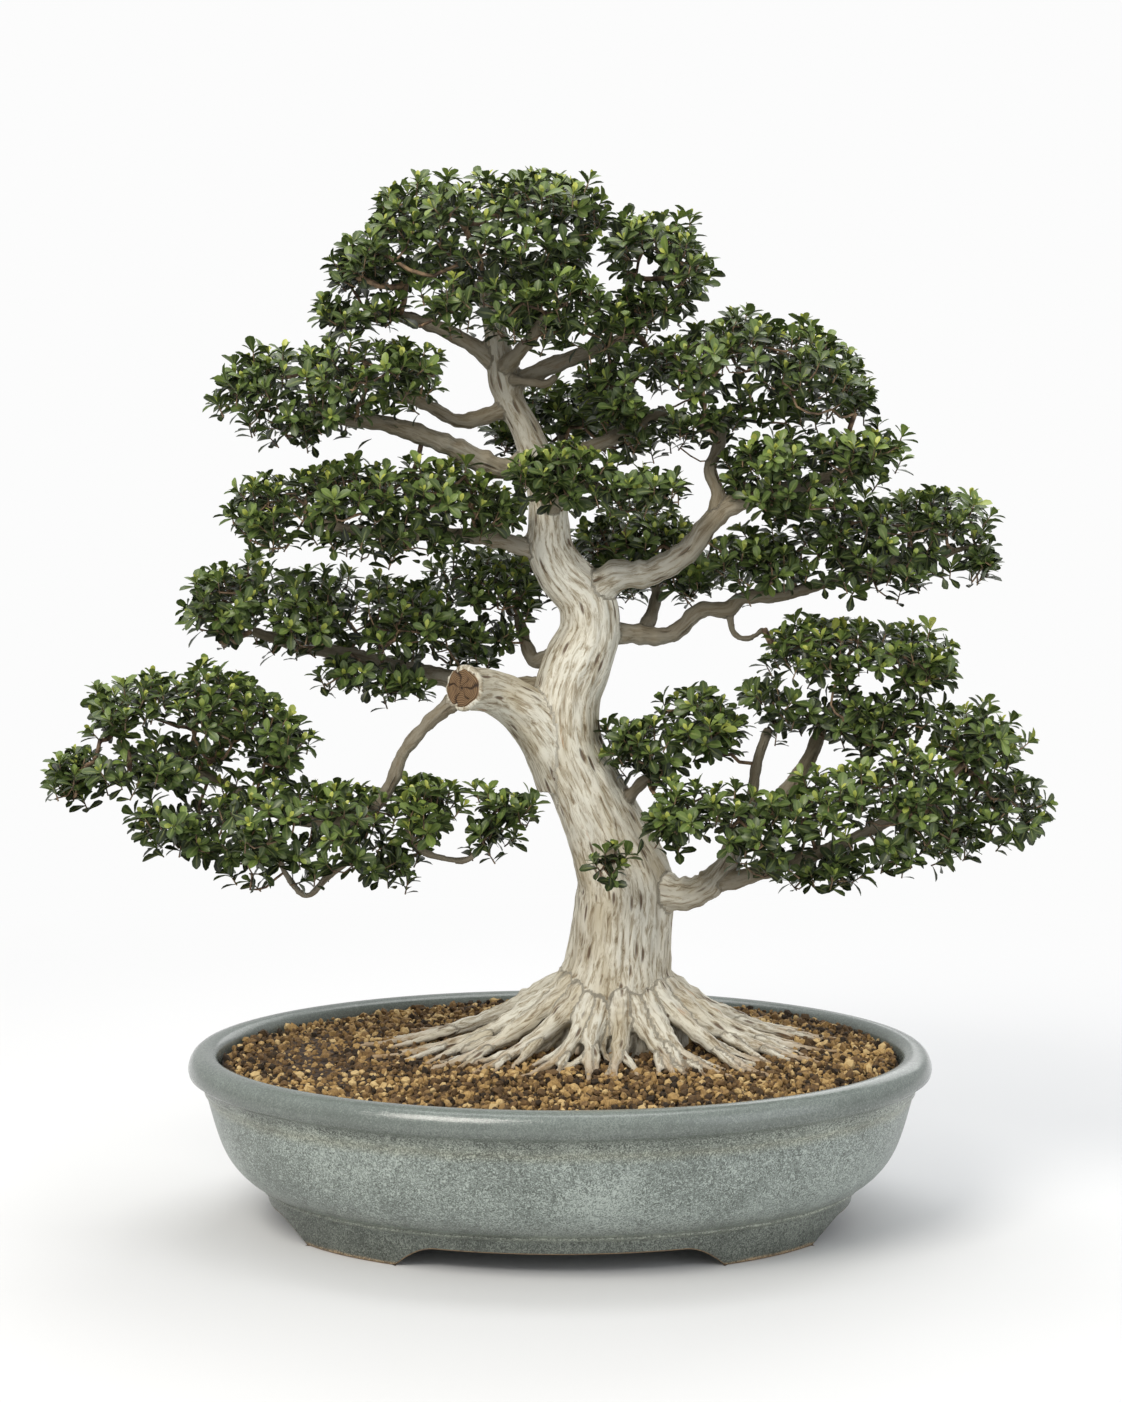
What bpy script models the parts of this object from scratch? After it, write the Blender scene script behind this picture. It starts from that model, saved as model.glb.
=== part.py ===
"""A bonsai tree in an oval glazed pot, at real size, in metres with +Z up.

The pot is one fired piece on four feet. The soil bed fills it and is cut to fit the tree. The tree's wood is one
piece with its surface roots, its limbs and a sawn stub. Every cloud of clipped foliage is a closed solid of its
own, seated on its limb. The whole stands on z = 0 with the middle of its outline over the origin.
"""

import math

import bmesh
import bpy
from mathutils import Matrix, Vector

MM = 0.001

# Clearances
FIT = 0.3 * MM  # between pieces that rest on each other
WOOD_FIT = 1.1 * MM  # round the wood, where soil and foliage are cut back from it
CLOUD_GAP = 1.5 * MM  # between two clouds of foliage that press on each other

# Pot
POT_LENGTH = 448 * MM
POT_DEPTH = 344 * MM
POT_HEIGHT = 104 * MM
POT_WALL = 9 * MM
POT_FLOOR = 8 * MM
RIM_WIDTH = 17 * MM
RIM_DROP = 37 * MM  # from the top of the rim to the line under its flare
RIM_FLARE = 11 * MM  # how far the rim stands out past the wall below it
BODY_TUCK = 33 * MM  # how far the wall curves in between that line and the base line
WALL_LEAN = 0.45  # share of the tuck that is a straight lean, the rest is the curve at the bottom
FOOT_HEIGHT = 14 * MM
SKIRT_HEIGHT = 6 * MM  # the base band above the feet
SKIRT_STEP = 3 * MM
FOOT_TUCK = 8 * MM
FOOT_WIDTH = 12 * MM
FRONT_GAP = 176 * MM  # between the feet along the front and back, on the ground
SIDE_GAP = 126 * MM  # between the feet at the two ends, on the ground
GAP_SLOPE = 22 * MM  # how far a foot's end runs in as it rises
OVAL_STEPS = 40

# Drainage and tie-down
DRAIN_RADIUS = 13 * MM
DRAIN_SPREAD = 120 * MM  # each drain hole's distance from the middle
SCREEN_SIZE = 42 * MM
SCREEN_THICK = 1.2 * MM
CLIP_SPREAD = 7 * MM  # each leg of a clip from the hole's middle
CLIP_REACH = 24 * MM  # how far a leg is bent out under the floor
CLIP_WIRE = 0.8 * MM
CLIP_HOLE = 1.6 * MM
TIE_WIRE = 1.0 * MM
TIE_HOLE = 1.8 * MM
TIE_SPAN = 80 * MM
TIE_BEND = 3 * MM

# Soil
SOIL_BELOW_RIM = 9 * MM
SOIL_MOUND = 8 * MM

# Tree: x, y, z and radius in millimetres, with z from the ground, scaled by TREE_SCALE round the trunk's foot
TREE_SCALE = 1.0
TRUNK_X = 34 * MM
TRUNK_Y = 12 * MM
TRUNK_GIRTH = 1.0
WOOD_GRAIN = 2.0 * MM  # the cell that melts the limbs into one skin
WOOD_DETAIL = 0.03  # share of the melted skin's triangles that is kept
SOFTENING = 4
TREE_FOOT = (34, 12, 95)  # the middle of the trunk's foot at soil level, in the tables' millimetres
CLOUD_DEPTH = 1.2  # how much deeper than their listed half sizes the clouds are made, front to back
CLOUD_GRAIN = 5 * MM  # the cell that melts a cloud's lobes into one skin
CLOUD_DETAIL = 0.032
CLOUD_LEAST = 90  # triangles that even a small cloud keeps

TRUNK = (
    (34, 12, 58, 40),
    (34, 12, 66, 58),
    (34, 12, 80, 60),
    (34, 12, 90, 47),
    (34, 12, 112, 43),
    (34, 12, 134, 36),
    (36, 12, 152, 32),
    (38, 11, 176, 30),
    (39, 11, 200, 29),
    (31, 10, 224, 25.5),
    (18, 10, 254, 22),
    (5, 11, 284, 20.5),
    (4, 12, 314, 20),
    (11, 14, 335, 20.4),
    (18, 14, 354, 18),
    (16, 13, 373, 17),
    (2, 12, 389, 15.5),
    (-6, 12, 404, 14),
    (-7, 12, 420, 12.5),
    (-8, 12, 436, 11.5),
    (-14, 12, 458, 10.3),
    (-21, 12, 476, 9),
    (-29, 12, 491, 8.4),
    (-33, 12, 505, 10.2),
    (-36, 12, 520, 8.2),
    (-40, 12, 540, 6.4),
    (-48, 13, 566, 4.6),
)

LIMBS = {
    "sawn_stub": ((3, 12, 262, 17), (-7, 8, 288, 17.5), (-23, 0, 308, 15), (-41, -12, 319, 13), (-56, -33, 323.5, 13)),
    "lower_left": (
        (-55, -26, 319, 5.5),
        (-68, -29, 311, 4.8),
        (-81, -31, 299, 4.4),
        (-93, -32, 284, 4),
        (-99, -32, 268, 3.8),
        (-110, -30, 252, 3.6),
        (-134, -27, 243, 3.4),
        (-164, -22, 246, 3.2),
        (-196, -16, 262, 3),
        (-222, -12, 274, 3),
    ),
    "left_low": (
        (0, 20, 318, 8),
        (-36, 34, 318, 6.8),
        (-74, 42, 324, 6),
        (-100, 44, 329, 5.5),
        (-130, 44, 337, 5),
        (-156, 42, 342, 4.2),
        (-190, 40, 352, 3.4),
    ),
    "left_low_back": ((8, 20, 346, 7), (-14, 36, 334, 5), (-21, 41, 344, 4.2), (-26, 44, 362, 3.4)),
    "left_middle": (
        (-4, 12, 399, 7),
        (-22, 8, 405, 5.6),
        (-44, 4, 411, 4.8),
        (-72, 0, 413, 4.2),
        (-110, -4, 414, 3.6),
        (-148, -6, 420, 3),
    ),
    "left_upper": (
        (-15, 12, 455, 8),
        (-36, 7, 453, 7.2),
        (-58, 2, 462, 6.6),
        (-79, -2, 471, 5.8),
        (-100, -4, 478, 5),
        (-120, -5, 481, 4.4),
        (-146, -6, 484, 3.6),
    ),
    "left_upper_second": ((-31, 12, 489, 6), (-58, 6, 481, 4.6), (-79, 2, 490, 4), (-98, 0, 497, 3.4)),
    "right_main": (
        (16, 13, 372, 14),
        (26, 8, 383, 11),
        (37, 4, 388, 9),
        (55, 0, 391, 8),
        (76, -6, 403, 7.2),
        (88, -9, 418, 6.6),
        (100, -10, 429, 6),
        (120, -9, 436, 5.2),
        (150, -8, 444, 4),
        (172, -8, 452, 3.2),
    ),
    "right_riser": ((92, -10, 422, 5.4), (94, -8, 438, 4.6), (90, -3, 452, 4.2), (95, 2, 466, 3.8), (100, 6, 486, 3.2)),
    "right_middle": (
        (18, 14, 352, 8),
        (36, 18, 352, 6.4),
        (63, 24, 350, 5.4),
        (74, 26, 355, 5.2),
        (86, 26, 366, 5),
        (103, 24, 367, 4.8),
        (112, 22, 374, 4.6),
        (136, 17, 376, 4.2),
        (172, 11, 387, 3.6),
        (204, 8, 398, 3),
    ),
    "right_middle_back": ((50, 21, 351, 5), (56, 36, 362, 4.2), (60, 46, 376, 3.6), (58, 48, 392, 3.2)),
    "right_upper": ((-12, 12, 450, 7), (10, 19, 461, 5.4), (38, 22, 474, 4.6), (64, 18, 488, 3.6)),
    "lower_right": (
        (40, 8, 202, 16),
        (58, 2, 198, 12.5),
        (74, -3, 196, 10.5),
        (89, -7, 201, 9),
        (98, -9, 213, 7.6),
        (106, -8, 228, 6.6),
        (122, -2, 244, 6),
        (141, 5, 262, 5.2),
        (153, 9, 281, 4.6),
        (160, 11, 302, 3.8),
    ),
    "lower_right_front": (
        (92, -8, 204, 6.5),
        (108, -16, 208, 5.6),
        (130, -24, 216, 4.6),
        (160, -30, 228, 4),
        (190, -30, 242, 3.4),
        (220, -20, 256, 3),
    ),
    "lower_right_riser": ((110, -7, 232, 5), (115, 0, 252, 4), (119, 5, 274, 3.6), (126, 8, 296, 3.2)),
    "lower_right_inner": ((22, 8, 246, 7), (39, 2, 253, 4.4), (50, 0, 264, 3.8), (66, -2, 276, 3.2)),
    "front_centre": ((-7, 10, 428, 6), (-2, -14, 434, 4.8), (8, -34, 440, 4), (24, -44, 442, 3.2)),
    "crown_left": ((-34, 12, 512, 6), (-60, 8, 531, 4.8), (-88, 4, 542, 4), (-116, 0, 546, 3.2)),
    "crown_right": ((-33, 12, 502, 6.4), (-14, 10, 510, 5.6), (8, 9, 519, 5), (34, 8, 528, 4.2), (54, 8, 544, 3.4)),
    "crown_front": ((-35, 12, 510, 5.6), (-26, -8, 520, 4.6), (-16, -26, 530, 4), (-8, -38, 542, 3.2)),
    "back_lower": ((14, 16, 350, 8), (12, 48, 358, 5.4), (8, 78, 368, 4.4), (4, 104, 382, 3.4)),
    "back_upper": ((-8, 12, 438, 7), (-4, 40, 450, 4.8), (0, 64, 462, 4), (2, 84, 474, 3.2)),
    "trunk_sprig": ((31, 0, 224, 5), (30, -24, 221, 3.4), (29, -40, 222, 3)),
}

# Surface roots: bearing in degrees from +X, length from the trunk's axis and radius where it leaves, in millimetres
ROOTS = (
    (10, 122, 11),
    (-8, 118, 10),
    (-24, 112, 12),
    (-41, 104, 11),
    (-56, 92, 11),
    (-72, 84, 10),
    (-88, 82, 12),
    (-104, 84, 10),
    (-120, 88, 11),
    (-136, 98, 12),
    (-152, 116, 12),
    (-166, 132, 11),
    (178, 140, 12),
    (160, 118, 10),
    (138, 92, 10),
    (114, 84, 11),
    (88, 82, 11),
    (62, 88, 10),
    (34, 104, 10),
)
ROOT_START = 14  # millimetres from the trunk's axis to where a root begins
ROOT_RISE = 34  # millimetres that a root stands above the soil where it leaves the trunk
ROOT_DIVE = 3.5  # millimetres that its tip ends below the soil
ROOT_TIP = 2.8
ROOT_SWAY = 7
ROOT_STEPS = 6
SOIL_REACH = 190  # millimetres from the trunk to the pot's wall, on the average

# Foliage clouds: each lobe's middle x, y, z and half sizes x, y, z in millimetres
CLOUDS = {
    "foliage_crown_top": (
        (-12, 12, 604, 46, 52, 27),
        (-70, 10, 598, 46, 54, 27),
        (-108, 8, 574, 30, 42, 21),
        (-42, 14, 580, 60, 60, 26),
    ),
    "foliage_crown_right": ((46, 14, 590, 25, 36, 19), (68, 8, 574, 23, 38, 27), (56, 6, 549, 28, 34, 17)),
    "foliage_crown_front": ((-8, -42, 546, 42, 27, 24), (-56, -38, 549, 28, 25, 17), (24, -36, 536, 27, 24, 13)),
    "foliage_crown_left": ((-124, 2, 544, 25, 26, 13), (-104, 0, 548, 16, 20, 10)),
    "foliage_left_upper": (
        (-172, -6, 499, 34, 38, 25),
        (-132, -6, 505, 36, 46, 26),
        (-98, -4, 508, 26, 40, 22),
        (-146, -8, 482, 40, 32, 13),
    ),
    "foliage_left_middle": (
        (-170, -6, 428, 31, 36, 23),
        (-124, -8, 432, 42, 48, 25),
        (-72, -8, 434, 44, 44, 23),
        (-38, -14, 429, 16, 26, 16),
        (-106, -8, 412, 50, 36, 12),
    ),
    "foliage_left_low": (
        (-200, 38, 371, 33, 38, 25),
        (-150, 42, 363, 42, 46, 26),
        (-96, 46, 357, 44, 48, 28),
        (-44, 56, 374, 36, 36, 28),
        (-56, 52, 347, 32, 34, 17),
    ),
    "foliage_left_low_front": ((-126, 22, 328, 30, 18, 9), (-98, 20, 322, 22, 16, 8)),
    "foliage_lower_left_outer": (
        (-254, -8, 308, 30, 38, 22),
        (-208, -8, 308, 38, 44, 23),
        (-282, -12, 270, 27, 32, 18),
        (-240, -10, 274, 38, 42, 22),
        (-170, -8, 290, 24, 34, 20),
    ),
    "foliage_lower_left_inner": (
        (-218, -30, 244, 36, 36, 20),
        (-174, -32, 246, 38, 40, 24),
        (-126, -32, 242, 38, 40, 27),
        (-82, -32, 252, 24, 32, 22),
        (-102, -30, 219, 18, 24, 13),
        (-174, -28, 222, 42, 28, 11),
    ),
    "foliage_lower_left_sprig": ((-33, -28, 254, 21, 16, 10), (-42, -28, 235, 17, 16, 14)),
    "foliage_front_centre": ((0, -50, 449, 34, 26, 20), (42, -48, 440, 36, 24, 14)),
    "foliage_right_upper": (
        (38, 8, 499, 30, 40, 25),
        (78, 8, 511, 40, 48, 28),
        (111, 8, 525, 33, 42, 22),
        (145, 6, 508, 39, 46, 28),
        (168, 4, 497, 22, 30, 18),
        (74, 8, 479, 46, 38, 15),
    ),
    "foliage_right_second": ((126, -10, 459, 34, 36, 18), (172, -10, 461, 36, 36, 19), (140, -10, 438, 44, 30, 14)),
    "foliage_right_middle_back": ((48, 52, 406, 40, 36, 26), (82, 46, 388, 26, 32, 16)),
    "foliage_right_middle": (
        (122, 14, 396, 34, 38, 19),
        (178, 8, 414, 36, 40, 23),
        (222, 6, 419, 36, 38, 23),
        (252, 4, 397, 16, 24, 13),
        (192, 8, 394, 46, 34, 13),
    ),
    "foliage_lower_right_top": (
        (168, 12, 338, 44, 46, 26),
        (210, 12, 332, 30, 40, 26),
        (136, 12, 316, 28, 36, 22),
        (188, 12, 304, 42, 42, 21),
    ),
    "foliage_lower_right_inner": ((48, -4, 286, 26, 30, 22), (84, -4, 299, 28, 32, 20), (54, -6, 270, 24, 24, 13)),
    "foliage_lower_right_outer": ((250, -6, 288, 29, 34, 22), (266, -10, 249, 27, 34, 23), (236, -8, 238, 24, 30, 16)),
    "foliage_lower_right_front": (
        (74, -44, 246, 32, 28, 20),
        (114, -44, 240, 36, 32, 24),
        (166, -42, 252, 36, 36, 26),
        (202, -38, 262, 34, 36, 28),
        (156, -42, 218, 27, 28, 14),
        (204, -38, 232, 34, 30, 14),
    ),
    "foliage_trunk_sprig": ((28, -46, 223, 17, 13, 9),),
    "foliage_back_lower": ((4, 104, 392, 44, 34, 20), (-30, 98, 382, 26, 28, 14), (40, 100, 380, 26, 28, 14)),
    "foliage_back_upper": ((4, 84, 486, 42, 32, 20), (-28, 78, 474, 26, 26, 14), (36, 76, 474, 24, 26, 14)),
}


def material(name, colour, roughness, metallic=0.0):
    """A Principled material in one plain finish."""
    made = bpy.data.materials.new(name)
    made.use_nodes = True
    shader = made.node_tree.nodes["Principled BSDF"]
    shader.inputs["Base Color"].default_value = (*colour, 1.0)
    shader.inputs["Roughness"].default_value = roughness
    shader.inputs["Metallic"].default_value = metallic
    return made


def add_object(name, shape, finish=None, smooth=True):
    """Puts a finished bmesh into the scene as a named object."""
    bmesh.ops.recalc_face_normals(shape, faces=shape.faces)
    mesh = bpy.data.meshes.new(name)
    shape.to_mesh(mesh)
    shape.free()
    if smooth:
        mesh.shade_smooth()
        mesh.set_sharp_from_angle(angle=math.radians(40))
    made = bpy.data.objects.new(name, mesh)
    bpy.context.scene.collection.objects.link(made)
    if finish:
        mesh.materials.append(finish)
    return made


def hide(helper):
    """Marks a cutter or guide, which is no part of the object."""
    helper.hide_render = True
    helper.display_type = "WIRE"
    return helper


def bake_modifiers(target):
    """Replaces an object's mesh by what its modifiers make of it."""
    bpy.context.view_layer.update()
    graph = bpy.context.evaluated_depsgraph_get()
    mesh = bpy.data.meshes.new_from_object(target.evaluated_get(graph))
    target.modifiers.clear()
    target.data = mesh


def cut(target, cutter, solver="EXACT"):
    """Takes the cutter's shape out of the target."""
    boolean = target.modifiers.new("cut_" + cutter.name, "BOOLEAN")
    boolean.operation = "DIFFERENCE"
    boolean.solver = solver
    boolean.object = cutter


def keep_main_body(target):
    """Drops the crumbs that a cut can leave beside the main body."""
    shape = bmesh.new()
    shape.from_mesh(target.data)
    left = set(shape.verts)
    bodies = []
    while left:
        front = [left.pop()]
        body = set(front)
        while front:
            near = front.pop()
            for edge in near.link_edges:
                other = edge.other_vert(near)
                if other not in body:
                    body.add(other)
                    left.discard(other)
                    front.append(other)
        bodies.append(body)
    bodies.sort(key=len, reverse=True)
    for body in bodies[1:]:
        bmesh.ops.delete(shape, geom=list(body), context="VERTS")
    shape.to_mesh(target.data)
    shape.free()


def grown_copy(source, name, by):
    """A hidden copy of a solid whose skin stands out by a clearance."""
    made = bpy.data.objects.new(name, source.data.copy())
    bpy.context.scene.collection.objects.link(made)
    swell = made.modifiers.new("swell", "DISPLACE")
    swell.direction = "NORMAL"
    swell.mid_level = 0.0
    swell.strength = by
    bake_modifiers(made)
    return hide(made)


def smooth_route(points, spacing):
    """Points at an even spacing along a Catmull-Rom curve through the given ones, radius included."""
    known = [Vector(p) for p in points]
    known = [known[0] * 2 - known[1], *known, known[-1] * 2 - known[-2]]
    route = []
    for before, start, end, after in zip(known, known[1:], known[2:], known[3:]):
        span = (end.xyz - start.xyz).length
        steps = max(1, round(span / spacing))
        for i in range(steps):
            t = i / steps
            route.append(
                0.5
                * (
                    2 * start
                    + (end - before) * t
                    + (2 * before - 5 * start + 4 * end - after) * t**2
                    + (3 * start - before - 3 * end + after) * t**3
                )
            )
    route.append(known[-2])
    return route


def add_tube(shape, route, sides):
    """A closed tube along a route of (x, y, z, radius) points, its ends square to it."""
    rings = []
    across = None
    for i, point in enumerate(route):
        ahead = route[min(i + 1, len(route) - 1)].xyz
        behind = route[max(i - 1, 0)].xyz
        along = (ahead - behind).normalized()
        if across is None:
            across = along.orthogonal()
        across = (across - along * across.dot(along)).normalized()
        other = along.cross(across)
        ring = []
        for k in range(sides):
            turn = 2 * math.pi * k / sides
            spoke = across * math.cos(turn) + other * math.sin(turn)
            ring.append(shape.verts.new(point.xyz + spoke * point[3]))
        rings.append(ring)
    for lower, upper in zip(rings, rings[1:]):
        for k in range(sides):
            n = (k + 1) % sides
            shape.faces.new((lower[k], lower[n], upper[n], upper[k]))
    shape.faces.new(rings[0][::-1])
    shape.faces.new(rings[-1])


def add_oval_loft(shape, rings):
    """A closed loft through level ovals, each (half length, half depth, z, middle x, middle y)."""
    made = []
    for half_x, half_y, z, mid_x, mid_y in rings:
        ring = []
        for k in range(OVAL_STEPS):
            turn = 2 * math.pi * k / OVAL_STEPS
            ring.append(shape.verts.new((mid_x + half_x * math.cos(turn), mid_y + half_y * math.sin(turn), z)))
        made.append(ring)
    for lower, upper in zip(made, made[1:]):
        for k in range(OVAL_STEPS):
            n = (k + 1) % OVAL_STEPS
            shape.faces.new((lower[k], lower[n], upper[n], upper[k]))
    shape.faces.new(made[0][::-1])
    shape.faces.new(made[-1])


def oval(inset, z):
    """The level oval that lies this far in from the rim's outer edge."""
    return (POT_LENGTH / 2 - inset, POT_DEPTH / 2 - inset, z, 0.0, 0.0)


BODY_TOP = POT_HEIGHT - RIM_DROP
BASE_LINE = FOOT_HEIGHT + SKIRT_HEIGHT
FLOOR_TOP = FOOT_HEIGHT + POT_FLOOR
BASE_INSET = RIM_FLARE + BODY_TUCK


def wall_inset(share):
    """How far in the outer wall is, a share of the way from the line under the rim to the base line."""
    return RIM_FLARE + BODY_TUCK * (WALL_LEAN * share + (1 - WALL_LEAN) * share**4.5)


def inner_wall(gap=0.0):
    """The ovals of the pot's inner wall from its floor to just under the lip, moved in by a gap."""
    rings = [oval(BASE_INSET + POT_WALL + 4 * MM + gap, FLOOR_TOP + gap)]
    for share in (0.97, 0.85, 0.65, 0.4, 0.1):
        z = BODY_TOP + (BASE_LINE - BODY_TOP) * share
        rings.append(oval(wall_inset(share) + POT_WALL + gap, max(z, FLOOR_TOP + gap + 1.2 * MM)))
    return rings


def make_pot():
    """One fired stoneware piece: foot ring, wall and rolled rim lofted as ovals, then pierced and cut."""
    foot_outside = BASE_INSET + SKIRT_STEP
    foot_bottom = foot_outside + FOOT_TUCK
    underside = foot_bottom + FOOT_WIDTH - 2 * MM
    outside = [
        oval(underside, FOOT_HEIGHT),
        oval(foot_bottom + FOOT_WIDTH, 0.0),
        oval(foot_bottom, 0.0),
        oval(foot_outside + 0.3 * FOOT_TUCK, FOOT_HEIGHT * 0.62),
        oval(foot_outside, BASE_LINE - 2.4 * MM),
        oval(BASE_INSET - 1 * MM, BASE_LINE - 1.2 * MM),
        oval(BASE_INSET - 1.4 * MM, BASE_LINE + 0.6 * MM),
    ]
    for share in (0.96, 0.86, 0.72, 0.55, 0.35, 0.12):
        outside.append(oval(wall_inset(share), BODY_TOP + (BASE_LINE - BODY_TOP) * share))
    # The line under the flare, the hollow flare itself and the roll of the rim, measured down from the top
    for inset, drop in (
        (RIM_FLARE, RIM_DROP - 1.5 * MM),
        (RIM_FLARE - 1.6 * MM, RIM_DROP - 4 * MM),
        (RIM_FLARE - 2.6 * MM, RIM_DROP - 10 * MM),
        (RIM_FLARE * 0.5, RIM_DROP - 16 * MM),
        (RIM_FLARE * 0.12, RIM_DROP - 22 * MM),
        (0.0, 10.5 * MM),
        (1 * MM, 6 * MM),
        (RIM_WIDTH * 0.25, 1.8 * MM),
        (RIM_WIDTH * 0.55, 0.0),
        (RIM_WIDTH * 0.85, 0.7 * MM),
        (RIM_WIDTH, 3 * MM),
        (RIM_WIDTH + 1.5 * MM, 9 * MM),
    ):
        outside.append(oval(inset, POT_HEIGHT - drop))
    shape = bmesh.new()
    add_oval_loft(shape, outside + inner_wall()[::-1])
    glaze = material("glazed stoneware", (0.24, 0.29, 0.29), 0.28)
    pot = add_object("pot", shape, glaze)

    far = POT_LENGTH
    for name, gap, turn in (("front_gap", FRONT_GAP, 0.0), ("side_gap", SIDE_GAP, math.pi / 2)):
        half = gap / 2
        top = FOOT_HEIGHT - 1.4 * MM
        outline = [(half + 1 * MM, -5 * MM), (half, 0.8 * MM)]
        for share in (0.3, 0.65, 0.9, 1.0):
            rise = 1 - (1 - share) ** 1.7
            outline.append((half - GAP_SLOPE * share, 0.8 * MM + (top - 0.8 * MM) * rise))
        outline += [(-x, z) for x, z in outline[::-1]]
        shape = bmesh.new()
        face = shape.faces.new([shape.verts.new((x, -far, z)) for x, z in outline])
        grown = bmesh.ops.extrude_face_region(shape, geom=[face])["geom"]
        moved = [v for v in grown if isinstance(v, bmesh.types.BMVert)]
        bmesh.ops.translate(shape, verts=moved, vec=(0, 2 * far, 0))
        bmesh.ops.rotate(shape, verts=shape.verts, cent=(0, 0, 0), matrix=Matrix.Rotation(turn, 3, "Z"))
        cut(pot, hide(add_object(name, shape, smooth=False)))

    holes = []
    for side, x, tie_x in zip(("left", "right"), (-DRAIN_SPREAD, DRAIN_SPREAD), tie_legs()):
        holes.append(("drain_hole_" + side, x, 0.0, DRAIN_RADIUS, 20))
        holes.append(("tie_hole_" + side, tie_x, tie_y(), TIE_HOLE, 10))
    for name, x, y, radius, sides in holes:
        drill = hide(add_object(name, round_bar(radius, 4 * POT_FLOOR, sides), smooth=False))
        drill.location = (x, y, FOOT_HEIGHT + POT_FLOOR / 2)
        cut(pot, drill)
    return pot


def round_bar(radius, length, sides):
    """An upright round bar, its middle over the origin, which drills a hole."""
    shape = bmesh.new()
    bmesh.ops.create_cone(shape, cap_ends=True, segments=sides, radius1=radius, radius2=radius, depth=length)
    return shape


def soil_height(share):
    """The soil's height, a share of the way from the trunk to the pot's wall."""
    return POT_HEIGHT - SOIL_BELOW_RIM + SOIL_MOUND * (1 - share**2)


def make_soil():
    """The bed of granular soil, mounded towards the trunk."""
    rings = inner_wall(FIT)
    half_x, half_y, edge = oval(RIM_WIDTH + 2.2 * MM + FIT, POT_HEIGHT - SOIL_BELOW_RIM - 1 * MM)[:3]
    for share in (1.0, 0.97, 0.8, 0.55, 0.3):
        height = soil_height(share) if share < 1 else edge
        rings.append((half_x * share, half_y * share, height, TRUNK_X * (1 - share), TRUNK_Y * (1 - share)))
    shape = bmesh.new()
    add_oval_loft(shape, rings)
    return add_object("soil", shape, material("baked clay granules", (0.20, 0.12, 0.055), 0.95))


def placed(points):
    """Tree points in metres from the tables' millimetres, scaled round the middle of the trunk's foot."""
    foot = Vector(TREE_FOOT) * MM
    soil = Vector((TRUNK_X, TRUNK_Y, POT_HEIGHT - SOIL_BELOW_RIM))
    made = []
    for x, y, z, *sizes in points:
        place = soil + (Vector((x, y, z)) * MM - foot) * TREE_SCALE
        made.append((*place, *[size * MM * TREE_SCALE for size in sizes]))
    return made


def root_route(number, bearing, length, radius):
    """A root that leaves the trunk's foot, comes down to the soil and ends just under its surface."""
    turn = math.radians(bearing)
    points = []
    for step in range(ROOT_STEPS + 1):
        t = step / ROOT_STEPS
        out = ROOT_START + (length - ROOT_START) * t
        sway = ROOT_SWAY * t * math.sin(2.3 * number + 4.2 * t)
        x = TREE_FOOT[0] + out * math.cos(turn) - sway * math.sin(turn)
        y = TREE_FOOT[1] + out * math.sin(turn) + sway * math.cos(turn)
        rise = ROOT_RISE * (1 - t) ** 2.4 - ROOT_DIVE * t
        thick = ROOT_TIP + (radius - ROOT_TIP) * (1 - t) ** 0.8
        mound = SOIL_MOUND / MM * (1 - (out / SOIL_REACH) ** 2)
        points.append((x, y, TREE_FOOT[2] + mound + rise, thick))
    return points


def melted_wood(name, room=0.0):
    """Trunk, roots and limbs melted into one skin, stood out by some room all round."""
    shape = bmesh.new()
    girth = [(x, y, z, r * (TRUNK_GIRTH if z > 90 else 1.0)) for x, y, z, r in TRUNK]
    routes = [(smooth_route(placed(girth), 9 * MM), 20)]
    for limb in LIMBS.values():
        routes.append((smooth_route(placed(limb), 7 * MM), 12))
    for number, root in enumerate(ROOTS):
        routes.append((smooth_route(placed(root_route(number, *root)), 8 * MM), 10))
    for route, sides in routes:
        ends = (route[0] - route[1]).xyz.normalized(), (route[-1] - route[-2]).xyz.normalized()
        route[0].xyz += ends[0] * room
        route[-1].xyz += ends[1] * room
        for point in route:
            point[3] += room
        add_tube(shape, route, sides)
    wood = add_object(name, shape)
    melt = wood.modifiers.new("melt", "REMESH")
    melt.mode = "VOXEL"
    melt.voxel_size = WOOD_GRAIN
    melt.use_smooth_shade = True
    soften = wood.modifiers.new("soften", "SMOOTH")
    soften.factor = 0.5
    soften.iterations = SOFTENING
    thin = wood.modifiers.new("thin", "DECIMATE")
    thin.ratio = WOOD_DETAIL
    thin.use_collapse_triangulate = True
    bake_modifiers(wood)
    keep_main_body(wood)
    return wood


def make_wood():
    """The tree's wood, which stays one piece from its roots to its twigs."""
    wood = melted_wood("tree_wood")
    wood.data.materials.append(material("pale bark", (0.46, 0.40, 0.31), 0.8))
    return wood


def make_cloud(name, lobes, leaf):
    """One cloud of clipped foliage, its lobes melted together."""
    shape = bmesh.new()
    for x, y, z, half_x, half_y, half_z in placed(lobes):
        size = Matrix.Diagonal((half_x, half_y * CLOUD_DEPTH, half_z, 1.0))
        spot = Matrix.Translation((x, y, z))
        bmesh.ops.create_icosphere(shape, subdivisions=3, radius=1.0, matrix=spot @ size)
    cloud = add_object(name, shape, leaf)
    melt = cloud.modifiers.new("melt", "REMESH")
    melt.mode = "VOXEL"
    melt.voxel_size = CLOUD_GRAIN
    melt.use_smooth_shade = True
    bake_modifiers(cloud)
    thin = cloud.modifiers.new("thin", "DECIMATE")
    thin.ratio = max(CLOUD_DETAIL, CLOUD_LEAST / (2 * len(cloud.data.polygons)))
    thin.use_collapse_triangulate = True
    bake_modifiers(cloud)
    return cloud


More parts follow.
